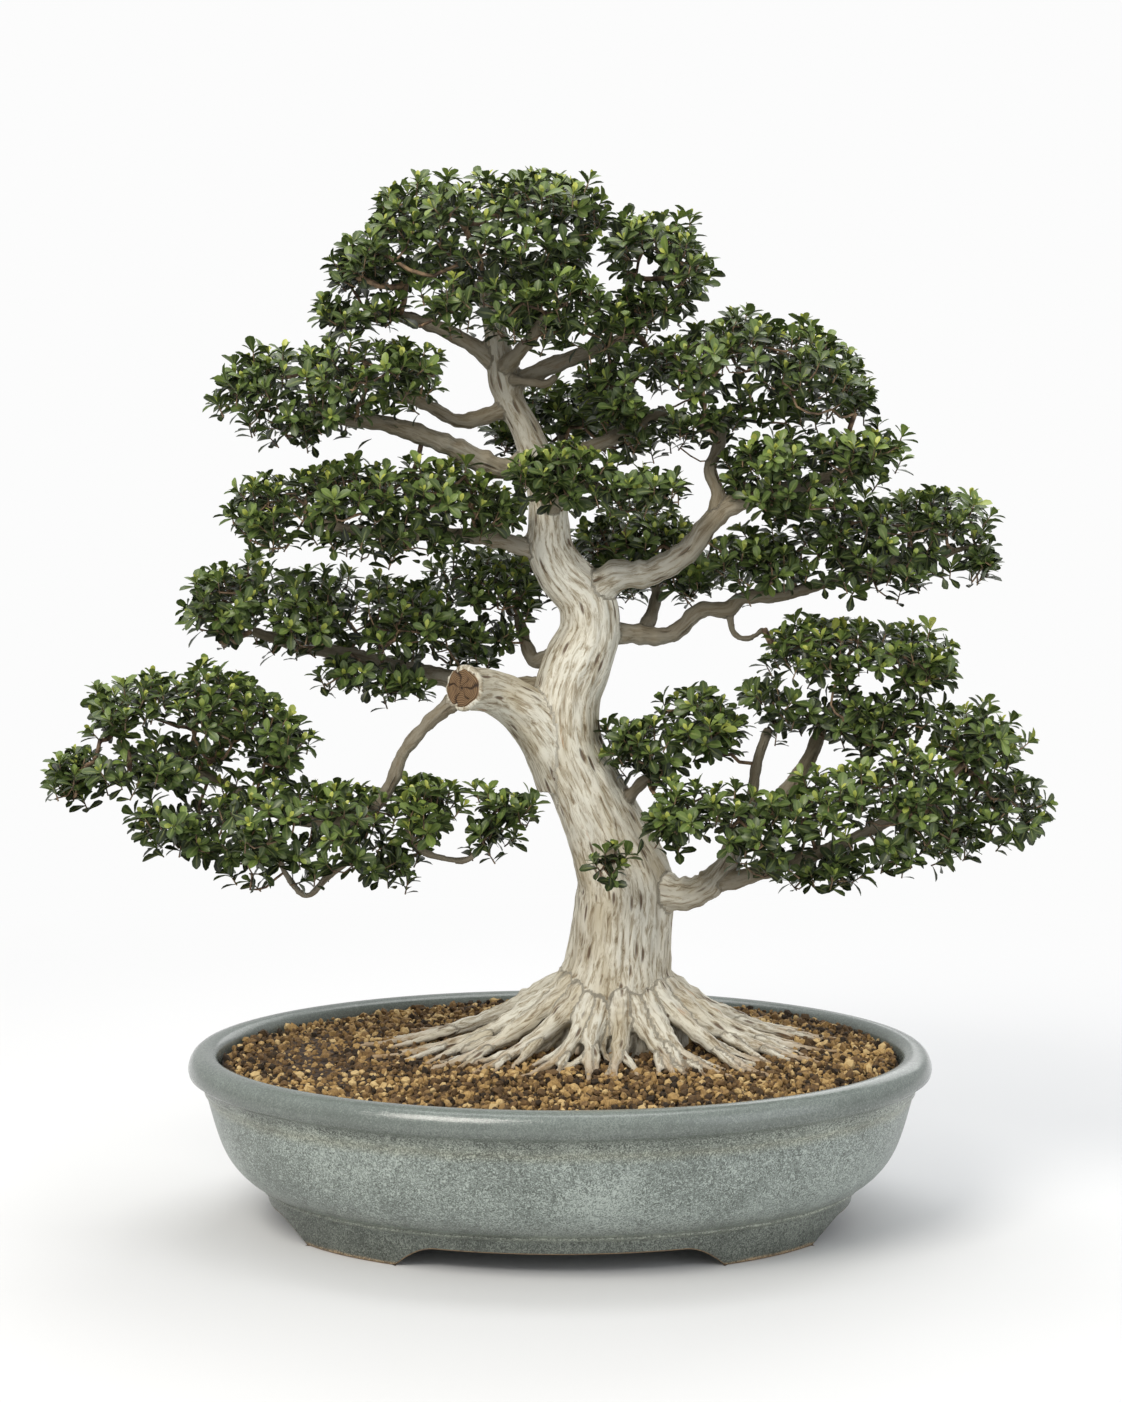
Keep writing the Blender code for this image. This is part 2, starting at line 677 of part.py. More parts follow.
def boxes_meet(one, other, margin):
    """Whether two objects' world boxes come within a margin of each other."""
    for axis in range(3):
        ends_one = [corner[axis] for corner in one.bound_box]
        ends_other = [corner[axis] for corner in other.bound_box]
        if min(ends_one) > max(ends_other) + margin or min(ends_other) > max(ends_one) + margin:
            return False
    return True


def make_foliage(wood_rooms):
    """Every cloud, cut back from the wood and from the clouds made before it.

    Softened skins fold a little over themselves in the tree's forks, where EXACT leaves sheets behind, so these cuts
    use MANIFOLD.
    """
    leaf = material("boxwood-like foliage", (0.055, 0.105, 0.03), 0.5)
    clouds = []
    for name, lobes in CLOUDS.items():
        cloud = make_cloud(name, lobes, leaf)
        for other in clouds:
            if boxes_meet(cloud, other, 2 * CLOUD_GAP):
                room = grown_copy(other, f"room_{name}_{other.name}"[:58], CLOUD_GAP)
                cut(cloud, room, "MANIFOLD")
        for room in wood_rooms:
            cut(cloud, room, "MANIFOLD")
        bake_modifiers(cloud)
        keep_main_body(cloud)
        clouds.append(cloud)
    return clouds


def wire(name, points, radius, finish, bend):
    """Round wire along straight runs with rounded bends."""
    corners = [Vector(p) for p in points]
    route = [corners[0]]
    for before, corner, after in zip(corners, corners[1:], corners[2:]):
        start = corner + (before - corner).normalized() * bend
        end = corner + (after - corner).normalized() * bend
        for t in (0.0, 0.33, 0.67, 1.0):
            route.append(start.lerp(corner, t).lerp(corner.lerp(end, t), t))
    route.append(corners[-1])
    curve = bpy.data.curves.new(name, "CURVE")
    curve.dimensions = "3D"
    curve.bevel_depth = radius
    curve.bevel_resolution = 1
    curve.use_fill_caps = True
    spline = curve.splines.new("POLY")
    spline.points.add(len(route) - 1)
    for spot, place in zip(spline.points, route):
        spot.co = (*place, 1.0)
    if finish:
        curve.materials.append(finish)
    made = bpy.data.objects.new(name, curve)
    bpy.context.scene.collection.objects.link(made)
    return made


def tie_legs():
    """The x of the tie wire's two legs."""
    return (TRUNK_X - TIE_SPAN / 2, TRUNK_X + TIE_SPAN / 2)


def tie_y():
    """The y of the tie wire, just inside the back edge of the buried root plate."""
    return TRUNK_Y + 56 * MM * TREE_SCALE


def tie_route():
    """Up through the floor, over the buried root plate and down again, the ends bent in under the floor."""
    left, right = tie_legs()
    under = FOOT_HEIGHT - FIT - TIE_WIRE
    over = POT_HEIGHT - SOIL_BELOW_RIM - 9.5 * MM * TREE_SCALE
    y = tie_y()
    middle = (left + right) / 2
    return [
        (middle - 2 * MM, y, under),
        (left, y, under),
        (left, y, over),
        (right, y, over),
        (right, y, under),
        (middle + 2 * MM, y, under),
    ]


def make_drainage(soil):
    """Mesh over each drain hole with the wire clip that holds it, and room for both under the soil."""
    mesh_finish = material("black drainage mesh", (0.015, 0.015, 0.016), 0.6)
    wire_finish = material("aluminium wire", (0.62, 0.60, 0.58), 0.4, 1.0)
    for side, x in (("left", -DRAIN_SPREAD), ("right", DRAIN_SPREAD)):
        shape = bmesh.new()
        bmesh.ops.create_cube(shape, size=1.0)
        bmesh.ops.scale(shape, verts=shape.verts, vec=(SCREEN_SIZE, SCREEN_SIZE, SCREEN_THICK))
        bmesh.ops.translate(shape, verts=shape.verts, vec=(x, 0, FLOOR_TOP + FIT + SCREEN_THICK / 2))
        screen = add_object("drain_screen_" + side, shape, mesh_finish, smooth=False)
        for leg, leg_x in (("outer", x - CLIP_SPREAD), ("inner", x + CLIP_SPREAD)):
            drill = hide(add_object(f"clip_hole_{side}_{leg}", round_bar(CLIP_HOLE, 4 * SCREEN_THICK, 8)))
            drill.location = (leg_x, 0, FLOOR_TOP + FIT + SCREEN_THICK / 2)
            cut(screen, drill)
        over = FLOOR_TOP + 2 * FIT + SCREEN_THICK + CLIP_WIRE
        under = FOOT_HEIGHT - FIT - CLIP_WIRE
        route = [
            (x - CLIP_REACH, 0, under),
            (x - CLIP_SPREAD, 0, under),
            (x - CLIP_SPREAD, 0, over),
            (x + CLIP_SPREAD, 0, over),
            (x + CLIP_SPREAD, 0, under),
            (x + CLIP_REACH, 0, under),
        ]
        wire("drain_clip_" + side, route, CLIP_WIRE, wire_finish, 2 * CLIP_WIRE)
        shape = bmesh.new()
        bmesh.ops.create_cube(shape, size=1.0)
        pocket = over + CLIP_WIRE + FIT
        bmesh.ops.scale(shape, verts=shape.verts, vec=(SCREEN_SIZE + 2 * FIT, SCREEN_SIZE + 2 * FIT, 2 * pocket))
        bmesh.ops.translate(shape, verts=shape.verts, vec=(x, 0, 0))
        cut(soil, hide(add_object("screen_room_" + side, shape, smooth=False)))
    wire("tie_wire", tie_route(), TIE_WIRE, wire_finish, TIE_BEND)
    room = wire("tie_room_guide", tie_route(), TIE_WIRE + 2 * FIT, None, TIE_BEND)
    bpy.context.view_layer.update()
    graph = bpy.context.evaluated_depsgraph_get()
    tunnel = bpy.data.objects.new("tie_room", bpy.data.meshes.new_from_object(room.evaluated_get(graph)))
    bpy.context.scene.collection.objects.link(tunnel)
    hide(room)
    cut(soil, hide(tunnel))


def stand_over_origin(pieces):
    """Hangs every object from one empty and moves it so that the outline's middle is over the origin."""
    bpy.context.view_layer.update()
    graph = bpy.context.evaluated_depsgraph_get()
    low = [math.inf, math.inf]
    high = [-math.inf, -math.inf]
    for piece in pieces:
        skin = piece.evaluated_get(graph).to_mesh()
        for vert in skin.vertices:
            for axis in range(2):
                low[axis] = min(low[axis], vert.co[axis])
                high[axis] = max(high[axis], vert.co[axis])
    stand = bpy.data.objects.new("bonsai", None)
    bpy.context.scene.collection.objects.link(stand)
    for thing in list(bpy.context.scene.collection.objects):
        if thing is not stand:
            thing.parent = stand
    stand.location = (-(low[0] + high[0]) / 2, -(low[1] + high[1]) / 2, 0.0)


def main():
    for old in list(bpy.data.objects):
        bpy.data.objects.remove(old)
    make_pot()
    soil = make_soil()
    wood = make_wood()
    wood_rooms = (hide(melted_wood("wood_room", WOOD_FIT)), grown_copy(wood, "wood_margin", FIT))
    for room in wood_rooms:
        cut(soil, room, "MANIFOLD")
    make_foliage(wood_rooms)
    make_drainage(soil)
    stand_over_origin([thing for thing in bpy.context.scene.collection.objects if not thing.hide_render])


main()
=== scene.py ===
"""A bonsai in an oval glazed pot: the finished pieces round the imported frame, their finishes and the stage.

Lengths in the tables are millimetres, as a bonsai grower measures; everything that reaches Blender is in metres.
The tables' x runs from the pot's middle, which the frame sets a little to the side of its own origin.
"""

import math

import bmesh
import bpy
import numpy as np
from bpy.props import FloatProperty, FloatVectorProperty, IntProperty, PointerProperty
from mathutils import Matrix, Vector, noise
from mathutils.bvhtree import BVHTree
from mathutils.kdtree import KDTree


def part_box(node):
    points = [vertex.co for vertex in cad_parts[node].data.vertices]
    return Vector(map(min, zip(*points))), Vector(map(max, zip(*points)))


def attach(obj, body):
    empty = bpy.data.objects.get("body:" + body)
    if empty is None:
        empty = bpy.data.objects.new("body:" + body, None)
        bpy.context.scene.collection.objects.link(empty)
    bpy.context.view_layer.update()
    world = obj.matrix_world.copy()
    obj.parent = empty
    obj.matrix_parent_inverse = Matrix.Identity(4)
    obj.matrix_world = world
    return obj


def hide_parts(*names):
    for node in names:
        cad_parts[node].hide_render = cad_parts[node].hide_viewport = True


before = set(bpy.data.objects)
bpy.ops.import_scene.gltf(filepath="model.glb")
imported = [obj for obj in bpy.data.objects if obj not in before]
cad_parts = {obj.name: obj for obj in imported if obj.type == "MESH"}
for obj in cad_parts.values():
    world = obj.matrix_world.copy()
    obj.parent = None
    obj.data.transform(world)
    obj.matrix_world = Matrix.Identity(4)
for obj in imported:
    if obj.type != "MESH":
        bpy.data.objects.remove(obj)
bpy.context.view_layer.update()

bl_info = {
    "name": "Bonsai in an oval pot",
    "version": (1, 0, 0),
    "blender": (4, 5, 0),
    "location": "3D View > Sidebar > Bonsai",
    "description": "Builds a clipped small-leaved bonsai, its pot, its soil and a plain stage",
    "category": "Add Mesh",
}

MM = 0.001
POT_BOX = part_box("pot")
POT_MIDDLE = (POT_BOX[0].x + POT_BOX[1].x) / 2
POT_HALF_LENGTH = (POT_BOX[1].x - POT_BOX[0].x) / 2
POT_HALF_DEPTH = (POT_BOX[1].y - POT_BOX[0].y) / 2
POT_HEIGHT = POT_BOX[1].z

# The pot's section: its outline is the frame's; the ridge, the skirt and the feet are set as on the finished pot
RIM_WIDTH = 17 * MM
RIM_DROP = 26 * MM
RIM_FLARE = 11 * MM
BODY_TUCK = 33 * MM
WALL_LEAN = 0.45
POT_WALL = 9 * MM
POT_FLOOR = 8 * MM
FOOT_HEIGHT = 14 * MM
SKIRT_HEIGHT = 9 * MM
SKIRT_STEP = 3 * MM
FOOT_TUCK = 4 * MM
FOOT_WIDTH = 12 * MM
FRONT_GAP = 186 * MM
SIDE_GAP = 126 * MM
GAP_SLOPE = 22 * MM
DRAIN_RADIUS = 13 * MM
DRAIN_SPREAD = 120 * MM
TIE_RADIUS = 1.8 * MM
TIE_HOLES = (-6 * MM, 74 * MM)
TIE_BACK = 68 * MM
POT_SIDES = 320
FIRED_EDGE = 0.8 * MM
BODY_TOP = POT_HEIGHT - RIM_DROP
BASE_LINE = FOOT_HEIGHT + SKIRT_HEIGHT
BASE_INSET = RIM_FLARE + BODY_TUCK

# The soil's surface: a low mound that rises to the trunk
SOIL_EDGE = POT_HEIGHT - 9 * MM
SOIL_MOUND = 8 * MM
TREE_FOOT = Vector((34, 12, 95))

# The tree's routes: x, y, z and radius
TRUNK = (
    (34, 12, 58, 40),
    (34, 12, 66, 58),
    (34, 12, 80, 60),
    (34, 12, 90, 47),
    (34, 12, 112, 43),
    (34, 12, 134, 36),
    (36, 12, 152, 32),
    (38, 11, 176, 30),
    (39, 11, 200, 29),
    (31, 10, 224, 25.5),
    (18, 10, 254, 22),
    (5, 11, 284, 20.5),
    (4, 12, 314, 20),
    (11, 14, 335, 20.4),
    (18, 14, 354, 18),
    (16, 13, 373, 17),
    (2, 12, 389, 15.5),
    (-6, 12, 404, 14),
    (-7, 12, 420, 12.5),
    (-8, 12, 436, 11.5),
    (-14, 12, 458, 10.3),
    (-21, 12, 476, 9),
    (-29, 12, 491, 8.4),
    (-33, 12, 505, 10.2),
    (-36, 12, 520, 8.2),
    (-40, 12, 540, 6.4),
    (-48, 13, 566, 4.6),
)
SAWN_STUB = ((3, 12, 262, 17), (-7, 8, 288, 17.5), (-23, 0, 308, 15), (-41, -12, 319, 13), (-57, -34, 323.5, 12.6))
LIMBS = (
    ((-55, -26, 319, 5.5), (-68, -29, 311, 4.8), (-81, -31, 299, 4.4), (-93, -32, 284, 4), (-99, -32, 268, 3.8),
     (-110, -30, 252, 3.6), (-134, -27, 243, 3.4), (-164, -22, 246, 3.2), (-196, -16, 262, 3), (-222, -12, 274, 3)),
    ((0, 20, 318, 8), (-36, 34, 318, 6.8), (-74, 42, 324, 6), (-100, 44, 329, 5.5), (-130, 44, 337, 5),
     (-156, 42, 342, 4.2), (-190, 40, 352, 3.4)),
    ((8, 20, 346, 7), (-14, 36, 334, 5), (-21, 41, 344, 4.2), (-26, 44, 362, 3.4)),
    ((-4, 12, 399, 7), (-22, 8, 405, 5.6), (-44, 4, 411, 4.8), (-72, 0, 413, 4.2), (-110, -4, 414, 3.6),
     (-148, -6, 420, 3)),
    ((-15, 12, 455, 8), (-36, 7, 453, 7.2), (-58, 2, 462, 6.6), (-79, -2, 471, 5.8), (-100, -4, 478, 5),
     (-120, -5, 481, 4.4), (-146, -6, 484, 3.6)),
    ((-31, 12, 489, 6), (-58, 6, 481, 4.6), (-79, 2, 490, 4), (-98, 0, 497, 3.4)),
    ((16, 13, 372, 14), (26, 8, 383, 11), (37, 4, 388, 9), (55, 0, 391, 8), (76, -6, 403, 7.2), (88, -9, 418, 6.6),
     (100, -10, 429, 6), (120, -9, 436, 5.2), (150, -8, 444, 4), (172, -8, 452, 3.2)),
    ((92, -10, 422, 5.4), (94, -8, 438, 4.6), (90, -3, 452, 4.2), (95, 2, 466, 3.8), (100, 6, 486, 3.2)),
    ((18, 14, 352, 8), (36, 18, 352, 6.4), (63, 24, 350, 5.4), (74, 26, 355, 5.2), (86, 26, 366, 5),
     (103, 24, 367, 4.8), (112, 22, 374, 4.6), (136, 17, 376, 4.2), (172, 11, 387, 3.6), (204, 8, 398, 3)),
    ((50, 21, 351, 5), (56, 36, 362, 4.2), (60, 46, 376, 3.6), (58, 48, 392, 3.2)),
    ((-12, 12, 450, 7), (10, 19, 461, 5.4), (38, 22, 474, 4.6), (64, 18, 488, 3.6)),
    ((40, 8, 202, 16), (58, 2, 198, 12.5), (74, -3, 196, 10.5), (89, -7, 201, 9), (98, -9, 213, 7.6),
     (106, -8, 228, 6.6), (122, -2, 244, 6), (141, 5, 262, 5.2), (153, 9, 281, 4.6), (160, 11, 302, 3.8)),
    ((92, -8, 204, 6.5), (108, -16, 208, 5.6), (130, -24, 216, 4.6), (160, -30, 228, 4), (190, -30, 242, 3.4),
     (220, -20, 256, 3)),
    ((110, -7, 232, 5), (115, 0, 252, 4), (119, 5, 274, 3.6), (126, 8, 296, 3.2)),
    ((22, 8, 246, 7), (39, 2, 253, 4.4), (50, 0, 264, 3.8), (66, -2, 276, 3.2)),
    ((-7, 10, 428, 6), (-2, -14, 434, 4.8), (8, -34, 440, 4), (24, -44, 442, 3.2)),
    ((-34, 12, 512, 6), (-60, 8, 531, 4.8), (-88, 4, 542, 4), (-116, 0, 546, 3.2)),
    ((-33, 12, 502, 6.4), (-14, 10, 510, 5.6), (8, 9, 519, 5), (34, 8, 528, 4.2), (54, 8, 544, 3.4)),
    ((-35, 12, 510, 5.6), (-26, -8, 520, 4.6), (-16, -26, 530, 4), (-8, -38, 542, 3.2)),
    ((14, 16, 350, 8), (12, 48, 358, 5.4), (8, 78, 368, 4.4), (4, 104, 382, 3.4)),
    ((-8, 12, 438, 7), (-4, 40, 450, 4.8), (0, 64, 462, 4), (2, 84, 474, 3.2)),
    ((31, 0, 224, 5), (30, -24, 221, 3.4), (29, -40, 222, 3)),
)
# Bare spurs that hang below the clouds
SPURS = (
    ((-172, -26, 236, 2.6), (-163, -30, 214, 2.2), (-150, -32, 200, 2), (-138, -32, 211, 2.3), (-124, -30, 222, 2.6)),
    ((-92, -31, 240, 2.6), (-82, -31, 227, 2.3), (-68, -30, 222, 2.2), (-55, -29, 221, 2.1), (-46, -28, 230, 1.9)),
    ((103, 24, 367, 2.8), (106, 22, 352, 2.2), (115, 20, 349, 2), (124, 18, 355, 1.7)),
    ((-34, 12, 506, 3.6), (-24, 0, 505, 3), (-8, -6, 503, 2.6), (-2, -6, 508, 2.2)),
    ((212, 8, 402, 2.6), (226, 4, 398, 2.2), (240, 2, 404, 2), (256, 0, 406, 1.6)),
)
# Surface roots: bearing in degrees from +X, length from the trunk's axis and radius where it leaves
ROOTS = (
    (10, 122, 11),
    (-8, 118, 10),
    (-24, 112, 12),
    (-41, 104, 11),
    (-56, 92, 11),
    (-72, 84, 10),
    (-88, 82, 12),
    (-104, 84, 10),
    (-120, 88, 11),
    (-136, 98, 12),
    (-152, 116, 12),
    (-166, 132, 11),
    (178, 140, 12),
    (160, 118, 10),
    (138, 92, 10),
    (114, 84, 11),
    (88, 82, 11),
    (62, 88, 10),
    (34, 104, 10),
)
# Kinds of wood
OF_TRUNK, OF_STUB, OF_LIMB, OF_ROOT = range(4)

ROOT_START = 14
ROOT_OVERRUN = 18  # how much further than its row says a main root runs
ROOT_STEPS = 10
# Forks of a main root: the step they leave at, how far they swing off it and their length as a share of its length
FORKS = ((4, 19, 0.4), (5, -22, 0.36), (6, 17, 0.26))
FORK_STEPS = 6
FORK_POINT = 1.3
THIN_ROOTS = 22
ROOT_RISE = 46
ROOT_SWAY = 7
SOIL_REACH = 190

# The stage: the camera's place and framing, the white of the backdrop, and where the floor fades into it
EYE = (POT_MIDDLE + 0.6 * MM, -1.6, 0.463)
EYE_PITCH = 2.7
EYE_SHIFT = -0.0886
BACKDROP = "#fcfcfc"
FLOOR_FADE = (0.36, 1.15)
FLOOR_REACH = 9.0
FLOOR_DROP = 0.05 * MM

LEAF_TONES = 48  # strips of the leaf map, from the oldest and darkest leaf to the youngest; the tones also carry painted shade deep and low in a cloud and painted light high in it
BAKE_MAP = "OFBake"


def linear(code):
    """An sRGB hex colour as the linear values that a shader takes."""
    parts = [int(code[i : i + 2], 16) / 255 for i in (1, 3, 5)]
    return tuple(v / 12.92 if v <= 0.04045 else ((v + 0.055) / 1.055) ** 2.4 for v in parts)


def shade_of(name, description, code):
    """A colour that a user may change."""
    return FloatVectorProperty(name=name, description=description, subtype="COLOR", default=linear(code))


def length_of(name, description, default, least):
    """A length that a user may change."""
    return FloatProperty(name=name, description=description, subtype="DISTANCE", default=default * MM, min=least * MM)


class PotSettings(bpy.types.PropertyGroup):
    """The pot's glaze."""

    glaze: shade_of("Glaze", "Colour of the glaze on the wall", "#808983")
    speckle: shade_of("Speckle", "Colour of the glaze's darker mottling", "#5a605a")
    bloom: shade_of("Bloom", "Colour of the glaze's lighter mottling", "#adb6af")
    mottle: length_of("Mottle", "Size of the mottling", 2.1, 0.5)


class SoilSettings(bpy.types.PropertyGroup):
    """The loose granules on the soil."""

    granule: length_of("Granule", "Middling size of a granule", 4.0, 2)
    dry: shade_of("Dry clay", "Colour of a dry granule", "#b3925c")
    wet: shade_of("Damp clay", "Colour of a damp granule", "#2a2014")


class WoodSettings(bpy.types.PropertyGroup):
    """The trunk, roots and limbs."""

    fineness: length_of("Fineness", "Cell of the wood's skin", 1.75, 1)
    bark: shade_of("Bark", "Colour of the bark's raised parts", "#e0dccc")
    fissure: shade_of("Fissure", "Colour in the bark's hollows", "#7b6c54")


class LeafSettings(bpy.types.PropertyGroup):
    """The clipped foliage."""

    length: length_of("Leaf", "Middling length of a leaf", 10.2, 5)
    spacing: length_of("Shoots", "Distance between shoot tips", 9.0, 5)
    old: shade_of("Old leaf", "Colour of an old, shaded leaf", "#2b371d")
    ripe: shade_of("Ripe leaf", "Colour of a full-grown leaf", "#516431")
    young: shade_of("Young leaf", "Colour of a new leaf", "#b3b856")
    seed: IntProperty(name="Seed", description="Another number grows other leaves", default=7)


class StageSettings(bpy.types.PropertyGroup):
    """The floor, the light and the view."""

    floor: shade_of("Floor", "Colour of the floor and the backdrop", "#dcddde")
    lens: FloatProperty(name="Lens", description="Focal length", subtype="DISTANCE_CAMERA", default=68.5)


def feed(tree, node, inputs):
    """Sets a node's plain values and links; a node means its first live output, and a hex code its colour."""
    for name, value in inputs.items():
        if isinstance(value, bpy.types.Node):
            value = next(socket for socket in value.outputs if socket.enabled)
        if isinstance(value, bpy.types.NodeSocket):
            tree.links.new(value, node.inputs[name])
        else:
            node.inputs[name].default_value = (*linear(value), 1.0) if isinstance(value, str) else value


def add(tree, kind, inputs=None, stops=(), **settings):
    """Adds a node with its settings, its plain values, its links and the stops of a colour ramp."""
    node = tree.nodes.new("ShaderNode" + kind)
    for name, value in settings.items():
        setattr(node, name, value)
    for number, (place, colour) in enumerate(stops):
        elements = node.color_ramp.elements
        if number == 0:
            elements.remove(elements[1])
            elements[0].position = place
        stop = elements.new(place) if number else elements[0]
        stop.color = (*(linear(colour) if isinstance(colour, str) else colour), 1.0)
    feed(tree, node, inputs or {})
    return node


def new_finish(name, roughness, ior=1.5, metallic=0.0):
    """A material's tree and shader, with the values that are the same all over it."""
    made = bpy.data.materials.new(name)
    made.use_nodes = True
    shader = made.node_tree.nodes["Principled BSDF"]
    shader.inputs["Roughness"].default_value = roughness
    shader.inputs["Metallic"].default_value = metallic
    if not metallic:
        shader.inputs["IOR"].default_value = ior
    return made, made.node_tree, shader


def grey(value):
    """A tint that only darkens or lightens."""
    return (value, value, value)


def glazed_stoneware(settings):
    """Reduction-fired celadon over stoneware: it pools blue-grey, mottles finely and breaks brown on the ridges."""
    made, tree, shader = new_finish("glazed stoneware", 0.3, 1.52)
    place = add(tree, "TexCoord").outputs["Object"]
    mottle = add(
        tree, "TexNoise",
        {"Vector": place, "Scale": 1 / settings.mottle, "Detail": 2.0, "Roughness": 0.5, "Distortion": 2.6},
    )
    cloud = add(tree, "TexNoise", {"Vector": place, "Scale": 18.0, "Detail": 4.0, "Roughness": 0.6})
    mixed = add(tree, "Math", {0: cloud, 1: 0.34, 2: mottle}, operation="MULTIPLY_ADD")
    colour = add(
        tree, "ValToRGB", {"Fac": mixed},
        stops=((0.56, settings.speckle), (0.65, settings.glaze), (0.7, settings.glaze), (0.78, settings.bloom)),
    )
    height = add(tree, "SeparateXYZ", {"Vector": place})
    # On the roll the glaze runs thin and even
    even = add(
        tree, "MapRange",
        {
            "Value": height.outputs["Z"], "From Min": POT_HEIGHT - 18 * MM, "From Max": POT_HEIGHT - 11 * MM,
            "To Max": 0.7,
        },
    )
    rolled = add(tree, "Mix", {0: even, 6: colour, 7: "#7b8380"}, data_type="RGBA")
    wander = add(tree, "TexNoise", {"Vector": place, "Scale": 60.0, "Detail": 3.0})
    level = add(tree, "Math", {0: wander, 1: 3 * MM, 2: height.outputs["Z"]}, operation="MULTIPLY_ADD")
    share = add(tree, "MapRange", {"Value": level, "From Min": 1.5 * MM, "From Max": POT_HEIGHT + 1.5 * MM})
    # Up the section: bare clay, skirt, bead, wall, ridge, concave flare, the roll's shadowed underside, rim. The
    # darker skirt and foot of the wall are painted shade under the body's swell, and the dark band under the roll is
    # painted shade too
    tint = add(
        tree, "ValToRGB", {"Fac": share},
        stops=(
            (0.0, (1.35, 0.84, 0.53)), (0.013, (1.2, 0.8, 0.53)), (0.024, (0.46, 0.45, 0.42)),
            (0.18, (0.58, 0.57, 0.54)), (0.225, (1.0, 0.96, 0.88)), (0.25, (0.78, 0.77, 0.75)), (0.34, grey(1.0)),
            (0.7, grey(1.0)), (0.752, (1.08, 1.01, 0.90)), (0.785, (0.94, 0.91, 0.85)), (0.85, (0.66, 0.65, 0.62)),
            (0.93, (0.70, 0.70, 0.68)), (0.985, (0.86, 0.87, 0.86)),
        ),
    )
    finished = add(tree, "Mix", {0: 1.0, 6: rolled, 7: tint}, data_type="RGBA", blend_type="MULTIPLY")
    satin = add(tree, "MapRange", {"Value": share, "From Min": 0.75, "From Max": 0.9, "To Min": 0.34, "To Max": 0.12})
    orange_peel = add(tree, "Bump", {"Height": mottle, "Distance": 0.25 * MM, "Strength": 0.35})
    feed(tree, shader, {"Base Color": finished, "Roughness": satin, "Normal": orange_peel})
    return made


def speckled(name, roughness, scale, detail, stops, metallic=0.0):
    """A finish whose only pattern is a fine noise between a few tones."""
    made, tree, shader = new_finish(name, roughness, metallic=metallic)
    place = add(tree, "TexCoord").outputs["Object"]
    noise_field = add(tree, "TexNoise", {"Vector": place, "Scale": scale, "Detail": detail})
    feed(tree, shader, {"Base Color": add(tree, "ValToRGB", {"Fac": noise_field}, stops=stops)})
    return made


def bare_stoneware():
    """Unglazed fired clay on the edges that stand on the kiln shelf: matt warm brown."""
    return speckled("bare stoneware edge", 0.7, 900.0, 2.0, ((0.35, "#6b5540"), (0.65, "#9a8262")))


def damp_bed():
    """The bed under the loose granules: packed damp clay crumbs, matt, dark both for damp clay and as painted shade
    between the granules, each crumb darkening towards its edges as painted shade.
    """
    made, tree, shader = new_finish("packed clay crumbs", 0.95)
    place = add(tree, "TexCoord").outputs["Object"]
    crumb_and_shade = add(tree, "TexVoronoi", {"Vector": place, "Scale": 300.0})
    # Painted shade: every crumb darkens from its middle to its edges, where it meets the next
    colour = add(tree, "ValToRGB", {"Fac": crumb_and_shade}, stops=((0.1, "#54402b"), (0.7, "#241810")))
    relief = add(tree, "Bump", {"Height": crumb_and_shade, "Distance": 1.0 * MM, "Strength": 0.8}, invert=True)
    feed(tree, shader, {"Base Color": colour, "Normal": relief})
    return made


def fired_clay_granules(settings):
    """Broken baked clay: every granule has a tone of its own and a dusty, pitted face."""
    made, tree, shader = new_finish("baked clay granules", 0.9)
    tone = add(tree, "Attribute", attribute_name="tone")
    place = add(tree, "TexCoord").outputs["Object"]
    dust = add(tree, "TexNoise", {"Vector": place, "Scale": 700.0, "Detail": 3.0, "Roughness": 0.7})
    mixed = add(tree, "Math", {0: dust, 1: 0.5, 2: tone.outputs["Fac"]}, operation="MULTIPLY_ADD")
    colour = add(
        tree, "ValToRGB", {"Fac": mixed},
        stops=((0.25, settings.wet), (0.55, "#6b5233"), (0.85, settings.dry), (1.0, "#cdb27e")),
    )
    pits = add(tree, "Bump", {"Height": dust, "Distance": 0.5 * MM, "Strength": 0.7})
    feed(tree, shader, {"Base Color": colour, "Normal": pits})
    return made


